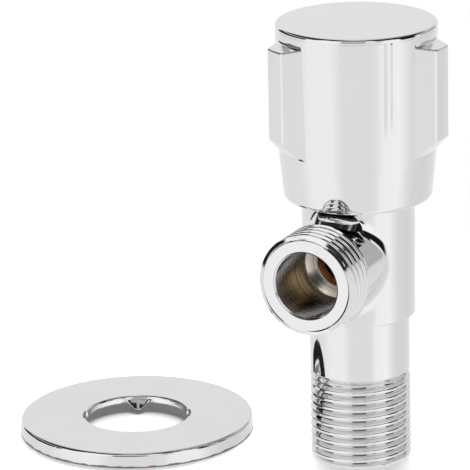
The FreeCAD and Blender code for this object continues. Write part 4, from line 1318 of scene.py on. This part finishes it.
# ---------------------------------------------------------------- handle
@dataclass
class Lobe:
    """One grip lobe of the handle, in millimetres and degrees.

    Its foot and its top run on into the handle's wall, where they are buried.
    """

    base_radius: float
    tip_radius: float
    top: float
    foot: float
    tip_half_angle: float = 7.84
    base_half_angle: float = 16.4
    corner_round: float = 0.8
    edge_round: float = 0.35
    top_rise: float = 0.55
    root_fillet: float = 0.55
    foot_height: float = 3.8
    foot_radius: float = 16.0
    buried_radius: float = 15.2
    flank_burial: float = 1.3
    fillet_share: float = 0.6
    least_fillet: float = 0.02
    least_depth: float = 0.01
    flank_steps: int = 5
    arc_steps: int = 10
    edge_steps: int = 5
    bend_steps: int = 6

    def outline(self) -> list[tuple[Vector, Vector]]:
        """Outline seen from above, from one buried end round the tip to the other.

        Returns:
            Points and outward normals in the plane, anticlockwise.
        """
        base, tip = math.radians(self.base_half_angle), math.radians(self.tip_half_angle)
        start = Vector((math.cos(base), -math.sin(base))) * self.base_radius
        point = Vector((math.cos(tip), -math.sin(tip))) * self.tip_radius
        along = (point - start).normalized()
        outward = Vector((along.y, -along.x))
        inner = self.tip_radius - self.corner_round
        foot_of = point - outward * self.corner_round
        b = foot_of.dot(along)
        shift = -b + math.sqrt(b * b - (foot_of.length_squared - inner**2))
        centre = foot_of + along * shift
        radial = centre.normalized()
        root = start - along * self.flank_burial
        flank = centre + outward * self.corner_round - root
        half = [(root + flank * (index / self.flank_steps), outward) for index in range(self.flank_steps)]
        turn = outward.angle_signed(radial)
        for index in range(self.arc_steps + 1):
            angle = -turn * index / self.arc_steps
            normal = Vector((outward.x * math.cos(angle) - outward.y * math.sin(angle),
                             outward.x * math.sin(angle) + outward.y * math.cos(angle)))
            half.append((centre + normal * self.corner_round, normal))
        end = math.atan2(radial.y, radial.x)
        middle = []
        for index in range(1, self.arc_steps * 2):
            angle = end * (1 - index / self.arc_steps)
            normal = Vector((math.cos(angle), math.sin(angle)))
            middle.append((normal * self.tip_radius, normal))
        other = [(Vector((p.x, -p.y)), Vector((n.x, -n.y))) for p, n in reversed(half)]
        return half + middle + other

    def foot_at(self, radius: float) -> float:
        """Height of the sloped underside at a distance from the handle's axis."""
        return self.foot + (radius - self.foot_radius) * self.slope()

    def slope(self) -> float:
        """Rise of the underside for each millimetre outwards."""
        return self.foot_height / (self.tip_radius - self.foot_radius)

    def rounded_edge(self, edge: Vector, first: Vector, last: Vector) -> tuple[list[Vector], list[Vector]]:
        """Round off the edge between two faces.

        Args:
            edge: Point on the sharp edge.
            first: Normal of the face before it.
            last: Normal of the face after it.

        Returns:
            Points and normals across the rounding.
        """
        centre = edge - (first + last) * (self.edge_round / (1 + first.dot(last)))
        steps = self.edge_steps
        normals = [turn_between(first, last, index / steps) for index in range(steps + 1)]
        return [centre + normal * self.edge_round for normal in normals], normals

    def column(self, point: Vector, outward: Vector) -> list[tuple[list[Vector], list[Vector]]]:
        """Section through the lobe at one point of its outline.

        Args:
            point: The outline's point.
            outward: The outline's normal there.

        Returns:
            Stretches from the buried foot up the side to the buried top and back.
        """
        radius = point.length
        radial = Vector((point.x, point.y, 0)) / radius
        upwards = Vector((0, 0, 1))
        slope = self.slope()
        rise = self.top_rise / (self.tip_radius - self.base_radius)
        under = (radial * slope - upwards).normalized()
        side, over = Vector((outward.x, outward.y, 0)), (radial * rise + upwards).normalized()
        low_edge = Vector((point.x, point.y, self.foot_at(radius)))
        high_edge = Vector((point.x, point.y, self.top + (self.tip_radius - radius) * rise))
        low, low_normals = self.rounded_edge(low_edge, under, side)
        high, high_normals = self.rounded_edge(high_edge, side, over)
        buried = min(self.buried_radius, radius - self.least_depth)
        low_in = radial * buried + upwards * self.foot_at(buried)
        room = (radius - self.base_radius) * self.fillet_share
        fillet = min(self.root_fillet, max(self.least_fillet, room))
        wall = min(self.base_radius, radius) - self.least_fillet
        height = self.top + (self.tip_radius - wall) * rise
        corner = radial * wall + upwards * height
        centre = corner + (radial + over) * (fillet / (1 + radial.dot(over)))
        bend_normals = [turn_between(over, radial, index / self.bend_steps)
                        for index in range(self.bend_steps + 1)]
        bend = [centre - normal * fillet for normal in bend_normals]
        high_in = radial * buried + upwards * bend[-1].z
        return [([low_in, low[0]], [under, under]), (low, low_normals),
                ([low[-1], high[0]], [side, side]), (high, high_normals),
                ([high[-1], bend[0]], [over, over]), (bend, bend_normals),
                ([bend[-1], high_in], [upwards, upwards]), ([high_in, low_in], [-radial, -radial])]

    def add_to(self, draft: Draft, turn: float) -> None:
        """Add the lobe's faces, turned to its place.

        Args:
            draft: Where the faces go.
            turn: Angle about the handle's axis in radians.
        """
        spin = Matrix.Rotation(turn, 3, "Z")
        columns = [self.column(point, normal) for point, normal in self.outline()]
        for index in range(len(columns[0])):
            rows = zip(*[[spin @ point * MM for point in column[index][0]] for column in columns])
            tilts = zip(*[[spin @ normal for normal in column[index][1]] for column in columns])
            draft.strip(list(rows), list(tilts))


@dataclass
class Handle:
    """Cast and plated handle with its skirt, rim and three lobes, in millimetres."""

    skirt: float
    rim: float
    skirt_gap: float = 1.74
    body_radius: float = 11.56
    skirt_wall: float = 1.75
    skirt_round: float = 1.2
    lip_height: float = 3.0
    taper_height: float = 9.4
    taper_gain: float = 0.95
    taper_blend: float = 30.0
    rim_gain: float = 0.36
    wall: float = 2.7
    recess_depth: float = 11.0
    deck_thickness: float = 3.0
    hub_radius: float = 7.362
    hub_foot: float = 69.0
    socket_radius: float = 6.12
    screw_hole: float = 2.2
    seam: float = 0.03
    round_margin: float = 0.02
    inner_round: float = 0.3
    recess_round: float = 0.5
    hub_round: float = 0.8
    deck_round: float = 1.5
    lobe_count: int = 3
    lobe_turn: float = -3.6
    lobe_reach: float = 3.14
    lobe_top_drop: float = 2.45
    lobe_foot_rise: float = 1.1
    segments: int = 288

    CHROME = 0
    CAST = 1

    @property
    def taper_radius(self) -> float:
        """Outer radius where the skirt's taper ends."""
        return self.body_radius + self.skirt_gap + self.skirt_wall + self.taper_gain

    @property
    def rim_radius(self) -> float:
        """Outer radius at the rim."""
        return self.taper_radius + self.rim_gain

    def outline(self) -> list[Corner]:
        """Outline of the turned part of the handle.

        Returns:
            Corners from inside the skirt's edge up the outside and down through the cavity.
        """
        inner = self.body_radius + self.skirt_gap
        outer = inner + self.skirt_wall
        cavity = self.rim_radius - self.wall
        deck_top = self.rim - self.recess_depth
        deck = deck_top - self.deck_thickness
        lip_top = self.skirt + self.lip_height
        return [
            Corner(inner, self.skirt, self.inner_round, self.CAST),
            Corner(outer - self.skirt_round - self.round_margin, self.skirt, 0, self.CHROME),
            Corner(outer, self.skirt, self.skirt_round),
            Corner(self.taper_radius, self.skirt + self.taper_height, self.taper_blend),
            Corner(self.rim_radius, self.rim - self.seam), Corner(self.rim_radius - self.seam, self.rim),
            Corner(cavity, self.rim, 0, self.CAST), Corner(cavity, deck_top, self.recess_round, self.CAST),
            Corner(self.screw_hole, deck_top, 0, self.CAST), Corner(self.screw_hole, deck, 0, self.CAST),
            Corner(self.socket_radius, deck, 0, self.CAST),
            Corner(self.socket_radius, self.hub_foot, 0, self.CAST),
            Corner(self.hub_radius, self.hub_foot, 0, self.CAST),
            Corner(self.hub_radius, deck, self.hub_round, self.CAST),
            Corner(cavity, deck, self.deck_round, self.CAST),
            Corner(cavity, lip_top + cavity - inner, 0, self.CAST), Corner(inner, lip_top, 0, self.CAST),
        ]

    def build(self, wardrobe: Wardrobe) -> bpy.types.Object:
        """Build the handle.

        Args:
            wardrobe: The finishes.

        Returns:
            The piece.
        """
        draft = Draft()
        draft.turned(self.outline(), UPRIGHT, self.segments)
        lobe = Lobe(self.rim_radius, self.rim_radius + self.lobe_reach, self.rim - self.lobe_top_drop,
                    self.skirt + self.taper_height + self.lobe_foot_rise, foot_radius=self.taper_radius)
        for index in range(self.lobe_count):
            lobe.add_to(draft, math.radians(self.lobe_turn) + FULL_TURN * index / self.lobe_count)
        return draft.piece("handle_shell", [wardrobe[Finish.HANDLE_CHROME], wardrobe[Finish.CASTING]])


@dataclass
class HandleCap:
    """Round cap in the handle's recess, in millimetres."""

    top: float
    rim: float
    radius: float = 16.38
    edge_round: float = 0.7
    seam: float = 0.03
    skirt_radius: float = 13.56
    skirt_wall: float = 1.1
    skirt_height: float = 4.5
    segments: int = 288

    def build(self, wardrobe: Wardrobe) -> bpy.types.Object:
        """Build the cap.

        Args:
            wardrobe: The finishes.

        Returns:
            The piece.
        """
        foot = self.rim - self.skirt_height
        inside = self.skirt_radius - self.skirt_wall
        outline = [
            Corner(0, self.rim), Corner(inside, self.rim), Corner(inside, foot),
            Corner(self.skirt_radius, foot), Corner(self.skirt_radius, self.rim),
            Corner(self.radius - self.seam, self.rim), Corner(self.radius, self.rim + self.seam),
            Corner(self.radius, self.top, self.edge_round), Corner(0, self.top),
        ]
        draft = Draft()
        draft.turned(outline, UPRIGHT, self.segments)
        return draft.piece("cap_shell", [wardrobe[Finish.CAP_CHROME]])


# ---------------------------------------------------------------- cover ring
@dataclass
class CoverRing:
    """Pressed cover ring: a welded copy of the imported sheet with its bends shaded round.

    Args:
        node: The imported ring.
        crease: Edges sharper than this many degrees stay sharp.
        lean: How far the top of the wall moves outwards, in millimetres.
        slide_from: Radius in millimetres where that slide begins.
        slide_to: Radius in millimetres from which all of it applies.
        evenness: How strongly large faces lead the shading.
        weld: Points closer than this many metres become one.
    """

    node: bpy.types.Object
    crease: float = 32.0
    lean: float = 0.65
    slide_from: float = 20.0
    slide_to: float = 22.8
    evenness: int = 90
    weld: float = 2e-6

    def stand_wall_up(self, shape: bmesh.types.BMesh) -> None:
        """Slide the rim outwards with height, so that the wall stands nearly straight on its foot.

        Args:
            shape: The welded copy.
        """
        low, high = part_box(self.node.name)
        middle = Vector(((low.x + high.x) / 2, (low.y + high.y) / 2, 0))
        for vertex in shape.verts:
            arm = Vector((vertex.co.x - middle.x, vertex.co.y - middle.y, 0))
            share = (arm.length / MM - self.slide_from) / (self.slide_to - self.slide_from)
            share = min(max(share, 0.0), 1.0) * vertex.co.z / high.z
            vertex.co += arm.normalized() * (share * self.lean * MM)

    def build(self, wardrobe: Wardrobe) -> bpy.types.Object:
        """Build the ring.

        Args:
            wardrobe: The finishes.

        Returns:
            The piece.
        """
        mesh = self.node.data.copy()
        mesh.name = "cover_ring_sheet"
        shape = bmesh.new()
        shape.from_mesh(mesh)
        bmesh.ops.remove_doubles(shape, verts=shape.verts, dist=self.weld)
        self.stand_wall_up(shape)
        shape.to_mesh(mesh)
        shape.free()
        mesh.materials.clear()
        mesh.materials.append(wardrobe[Finish.SHEET])
        mesh.polygons.foreach_set("material_index", [0] * len(mesh.polygons))
        mesh.polygons.foreach_set("use_smooth", [True] * len(mesh.polygons))
        mesh.set_sharp_from_angle(angle=math.radians(self.crease))
        made = add_object("cover_ring_sheet", mesh)
        even = made.modifiers.new("even shading", "WEIGHTED_NORMAL")
        even.keep_sharp = True
        even.weight = self.evenness
        return made


# ---------------------------------------------------------------- headwork
@dataclass
class Headwork:
    """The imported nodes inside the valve, dressed and otherwise left alone."""

    nodes: dict[str, bpy.types.Object]
    slots: dict[str, str]
    shown_elsewhere: set[str]

    def dress(self, wardrobe: Wardrobe) -> None:
        """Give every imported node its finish.

        Args:
            wardrobe: The finishes.
        """
        for name, node in self.nodes.items():
            if name in self.shown_elsewhere:
                continue
            node.data.materials.clear()
            node.data.materials.append(wardrobe[FINISH_OF_SLOT[self.slots[name]]])
            LOG.info("dressed %s in %s", name, self.slots[name])


# ---------------------------------------------------------------- studio
@dataclass(frozen=True)
class Card:
    """A card or a person standing in the room, seen only as light or shade in the polished metal.

    Args:
        left: Bearing of its left edge in degrees, 0 towards the camera and positive to the right.
        right: Bearing of its right edge.
        low: Lowest elevation in degrees.
        high: Highest elevation.
        level: How bright it is.
        softness: Width of its soft edges in degrees.
    """

    left: float
    right: float
    low: float
    high: float
    level: float
    softness: float = 4.0

    def mask(self, sheet: NodeSheet, bearing: Socket, climb: Socket,
             ) -> Socket:
        """Say how far a direction falls on the card.

        Args:
            sheet: Where the nodes go.
            bearing: The direction's bearing in degrees.
            climb: Its elevation in degrees.

        Returns:
            1 on the card, 0 off it.
        """
        sides = []
        for value, first, last in ((bearing, self.left, self.right), (climb, self.low, self.high)):
            off = sheet.math("ABSOLUTE", sheet.math("SUBTRACT", value, (first + last) / 2))
            reach = (last - first) / 2
            sides.append(sheet.share(off, reach + self.softness / 2, reach - self.softness / 2, soft=True))
        return sheet.math("MULTIPLY", *sides)


@dataclass
class Studio:
    """Camera, pale floor and plain soft light.

    Args:
        camera_place: Camera's place in metres.
        heading: Where it looks, in degrees from +Y towards -X.
        pitch: How far it looks down, in degrees.
        roll: Turn about its own line of sight, in degrees.
        lens: Focal length in millimetres for the sensor width below.
        clip: Nearest and farthest distance that is drawn, in metres.
        floor_radius: How far the floor reaches, in metres.
        floor_glow: Light that the floor gives off by itself.
        floor_fade: Distances in metres from the origin between which the floor turns plain white.
        floor_drop: How far the floor lies under the object, in metres.
        lamp_power: Lamp's power in watts.
        lamp_size: Width of the lamp in metres.
        lamp_back: How far behind the object it hangs, in metres.
        lamp_height: How high it hangs, in metres.
        matt_share: Share of the room's light that falls on matt surfaces.
        ring_centre: Middle of the floor inside the cover ring, in metres.
        ring_radius: Radius of that patch, where the floor shows in the metal and has no glow.
        ring_edge: Half the width of the patch's soft edge.
        horizon: Elevations in degrees between which the floor gives way to the room.
        floor_levels: Bearings in degrees with the brightness of the pale floor there.
        room_levels: The same for the walls and the ceiling.
        cards: What stands in the room.
    """

    camera_place: tuple[float, float, float] = (0.29965, -0.65705, 0.27240)
    heading: float = 26.52
    pitch: float = 17.307
    roll: float = -1.262
    lens: float = 283.6
    clip: tuple[float, float] = (0.01, 20.0)
    floor_radius: float = 1.2
    floor_glow: float = 0.45
    floor_fade: tuple[float, float] = (0.08, 0.16)
    floor_drop: float = 0.00002
    lamp_power: float = 5.6
    lamp_size: float = 0.5
    lamp_back: float = 0.42
    lamp_height: float = 0.45
    matt_share: float = 0.3
    ring_centre: tuple[float, float] = (0.0, 0.0)
    ring_radius: float = 0.018
    ring_edge: float = 0.0015
    horizon: tuple[float, float] = (-6.0, 2.0)
    floor_levels: tuple = ((-180, 0.94), (-165, 0.83), (-128, 0.78), (-96, 0.81), (-76, 0.92), (-40, 0.93),
                           (-25, 0.8), (-15, 0.787), (18, 0.787), (26, 0.82), (34, 0.93), (62, 0.96),
                           (78, 0.8), (90, 0.735), (114, 0.71), (138, 0.76), (160, 0.85), (180, 0.94))
    room_levels: tuple = ((-180, 0.81), (-140, 0.82), (-100, 0.95), (-32, 0.98), (-24, 0.7), (28, 0.7),
                          (34, 1.0), (60, 1.0), (140, 0.76), (180, 0.81))
    cards: tuple = (Card(-180, 180, 34, 120, 0.45, 16.0), Card(-64, 28, 20, 60, 0.97, 6.0),
                    Card(-150, -68, 30, 62, 0.02, 6.0), Card(-150, 130, 56, 82, 0.02, 5.0),
                    Card(31, 130, 40, 62, 0.02, 6.0), Card(57, 130, 28, 44, 0.02, 6.0),
                    Card(-24, 11, 4, 33, 0.03, 4.0), Card(26, 37, 6, 16, 0.03, 4.0),
                    Card(98, 145, -8, 26, 0.45, 6.0), Card(62, 88, -12, 30, 0.008, 5.0),
                    Card(80, 98, 17, 31, 0.01, 4.0),
                    Card(-142, -78, -6, 24, 0.015, 5.0), Card(-150, -120, 24, 32, 0.4, 5.0))

    SENSOR_WIDTH = 36.0
    FLOOR_COLOUR = (0.92, 0.92, 0.92, 1)
    FLOOR_SEGMENTS = 96
    WHITE = (1, 1, 1, 1)

    def camera(self) -> None:
        """Place the camera."""
        data = bpy.data.cameras.new("camera")
        data.lens, data.sensor_width = self.lens, self.SENSOR_WIDTH
        data.clip_start, data.clip_end = self.clip
        made = add_object("camera", data)
        made.matrix_world = (Matrix.Translation(self.camera_place)
                             @ Matrix.Rotation(math.radians(self.heading), 4, "Z")
                             @ Matrix.Rotation(math.radians(90 - self.pitch), 4, "X")
                             @ Matrix.Rotation(math.radians(self.roll), 4, "Z"))
        bpy.context.scene.camera = made

    def surroundings(self, sheet: NodeSheet) -> Socket:
        """What polished metal sees: a pale floor and room with a few dark cards at the sides.

        Args:
            sheet: The world's nodes.

        Returns:
            The colour output.
        """
        direction = sheet.add("ShaderNodeTexCoord").outputs["Generated"]
        angle = math.radians(self.heading)
        towards = (math.sin(angle), -math.cos(angle), 0)
        rightwards = (math.cos(angle), math.sin(angle), 0)
        facing = sheet.vector("DOT_PRODUCT", direction, towards).outputs["Value"]
        beside = sheet.vector("DOT_PRODUCT", direction, rightwards).outputs["Value"]
        bearing = sheet.math("MULTIPLY", sheet.math("ARCTAN2", beside, facing), DEGREES)
        climb = sheet.math("MULTIPLY", sheet.math("ARCSINE", sheet.coordinate(direction, 2)), DEGREES)
        share = sheet.math("MULTIPLY_ADD", bearing, 1 / 360, 0.5)
        floor, room = (sheet.ramp(share, [((place + 180) / 360, (level,) * 3) for place, level in levels])
                       for levels in (self.floor_levels, self.room_levels))
        seen = sheet.blend(sheet.share(climb, *self.horizon, soft=True), floor, room)
        for card in self.cards:
            seen = sheet.blend(card.mask(sheet, bearing, climb), seen, (card.level,) * 3)
        return seen

    def world(self) -> None:
        """Make the world: the room lights the object, and plain white stands behind it."""
        world = bpy.data.worlds.new("studio")
        world.use_nodes = True
        bpy.context.scene.world = world
        sheet = NodeSheet(world.node_tree)
        background = world.node_tree.nodes["Background"]
        room = self.surroundings(sheet)
        path = sheet.add("ShaderNodeLightPath").outputs
        final = sheet.blend(path["Is Camera Ray"], room, (1, 1, 1))
        strength = sheet.math("MULTIPLY_ADD", path["Is Diffuse Ray"], self.matt_share - 1.0, 1.0)
        sheet.tree.links.new(final, background.inputs["Color"])
        sheet.tree.links.new(strength, background.inputs["Strength"])

    def lamp(self) -> None:
        """Hang one wide soft lamp behind the object, which only matt surfaces answer to."""
        data = bpy.data.lights.new("soft_lamp", "AREA")
        data.shape, data.size, data.energy = "DISK", self.lamp_size, self.lamp_power
        made = add_object("soft_lamp", data)
        angle = math.radians(self.heading)
        back = Vector((-math.sin(angle), math.cos(angle), 0)) * self.lamp_back
        made.location = (back.x, back.y, self.lamp_height)
        made.rotation_euler = Vector(made.location).to_track_quat("Z", "Y").to_euler()
        made.visible_glossy = False

    def floor_material(self) -> bpy.types.Material:
        """Make the floor's material: matt near the object, plain white further off.

        Returns:
            The material.
        """
        material = bpy.data.materials.new("pale_floor")
        material.use_nodes = True
        sheet = NodeSheet(material.node_tree)
        nodes = material.node_tree.nodes
        nodes.remove(nodes["Principled BSDF"])
        matt = sheet.add("ShaderNodeBsdfDiffuse", {"Color": self.FLOOR_COLOUR}).outputs[0]
        faint = sheet.add("ShaderNodeEmission", {"Color": self.WHITE, "Strength": self.floor_glow})
        lit = sheet.add("ShaderNodeAddShader", {0: matt, 1: faint.outputs[0]}).outputs[0]
        white = sheet.add("ShaderNodeEmission", {"Color": self.WHITE, "Strength": 1.0}).outputs[0]
        clear = sheet.add("ShaderNodeBsdfTransparent").outputs[0]
        place = sheet.add("ShaderNodeTexCoord").outputs["Object"]
        far = sheet.share(sheet.vector("LENGTH", place).outputs["Value"], *self.floor_fade, soft=True)
        off = sheet.vector("DISTANCE", place, (*self.ring_centre, 0)).outputs["Value"]
        ringed = sheet.share(off, self.ring_radius + self.ring_edge, self.ring_radius - self.ring_edge,
                             soft=True)
        path = sheet.add("ShaderNodeLightPath").outputs
        unseen = sheet.math("MULTIPLY", path["Is Glossy Ray"], sheet.math("SUBTRACT", 1.0, ringed))
        shown = sheet.mix_shaders(far, lit, white)
        shown = sheet.mix_shaders(ringed, shown, matt)
        shown = sheet.mix_shaders(path["Is Camera Ray"], matt, shown)
        final = sheet.mix_shaders(unseen, shown, clear)
        sheet.tree.links.new(final, nodes["Material Output"].inputs["Surface"])
        return material

    def floor(self) -> None:
        """Lay the floor: it keeps a soft shadow, fades to white and leaves reflections to the room."""
        mesh = bpy.data.meshes.new("floor")
        shape = bmesh.new()
        bmesh.ops.create_circle(shape, cap_ends=True, radius=self.floor_radius,
                                 segments=self.FLOOR_SEGMENTS)
        shape.to_mesh(mesh)
        shape.free()
        mesh.materials.append(self.floor_material())
        floor = add_object("floor", mesh)
        floor.location = (0, 0, -self.floor_drop)

    def build(self) -> None:
        """Set up the whole studio."""
        self.camera()
        self.world()
        self.lamp()
        self.floor()
        bpy.context.scene.view_settings.view_transform = "Standard"


# ---------------------------------------------------------------- assembly
class AngleValve:
    """The whole object: reads its sizes from the frame and builds each sub-assembly."""

    def __init__(self, frame: dict) -> None:
        """Read the sizes that the frame gives.
        """
        self.frame = frame
        record = frame["record"]
        mounts = {mount["name"]: mount for mount in record["mounts"]}
        body_low, body_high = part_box("valve_body")
        handle_low, handle_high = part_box("handle")
        _, cap_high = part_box("handle_cap")
        self.body = ValveBody(
            thread=PipeThread(mounts["inlet_thread"]["dims"]["r_mm"]),
            bore_radius=mounts["outlet_waterway"]["dims"]["r_mm"],
            outlet_height=mounts["outlet_waterway"]["pos_m"][2] / MM,
            outlet_reach=-body_low.y / MM, top=body_high.z / MM, foot=body_low.z / MM)
        self.handle = Handle(skirt=handle_low.z / MM, rim=handle_high.z / MM)
        self.cap = HandleCap(top=cap_high.z / MM, rim=handle_high.z / MM)
        self.cover_ring = CoverRing(frame["nodes"]["escutcheon"])
        self.slots = {part["node"]: part["material_slot"] for part in record["subparts"]}

    def place(self, piece: bpy.types.Object, body: str, slot: str, *nodes: str) -> None:
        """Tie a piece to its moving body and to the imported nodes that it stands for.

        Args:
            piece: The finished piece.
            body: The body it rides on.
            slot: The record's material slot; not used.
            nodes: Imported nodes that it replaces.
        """
        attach(piece, body)
        if nodes:
            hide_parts(*nodes)
        LOG.info("%s: %d faces on %s", piece.name, len(piece.data.polygons), body)

    def build(self) -> None:
        """Build every piece in order."""
        wardrobe = Wardrobe()
        shell, inlet, outlet = self.body.build(wardrobe, ThreadTree())
        self.place(shell, "valve", "chromed_brass", "valve_body")
        self.place(inlet, "valve", "chromed_brass")
        self.place(outlet, "valve", "chromed_brass")
        self.place(self.handle.build(wardrobe), "handle_assembly", "chromed_handle", "handle")
        self.place(self.cap.build(wardrobe), "handle_assembly", "chromed_cap", "handle_cap")
        self.place(self.cover_ring.build(wardrobe), "cover_ring", "polished_steel_sheet", "escutcheon")
        Headwork(self.frame["nodes"], self.slots,
                 {"valve_body", "handle", "handle_cap", "escutcheon"}).dress(wardrobe)


def main() -> None:
    """Load the frame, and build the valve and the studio."""
    logging.basicConfig(level=logging.INFO, format="%(name)s: %(message)s")
    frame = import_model()
    AngleValve(frame).build()
    low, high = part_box("escutcheon")
    Studio(ring_centre=((low.x + high.x) / 2, (low.y + high.y) / 2)).build()


if __name__ == "__main__":
    main()
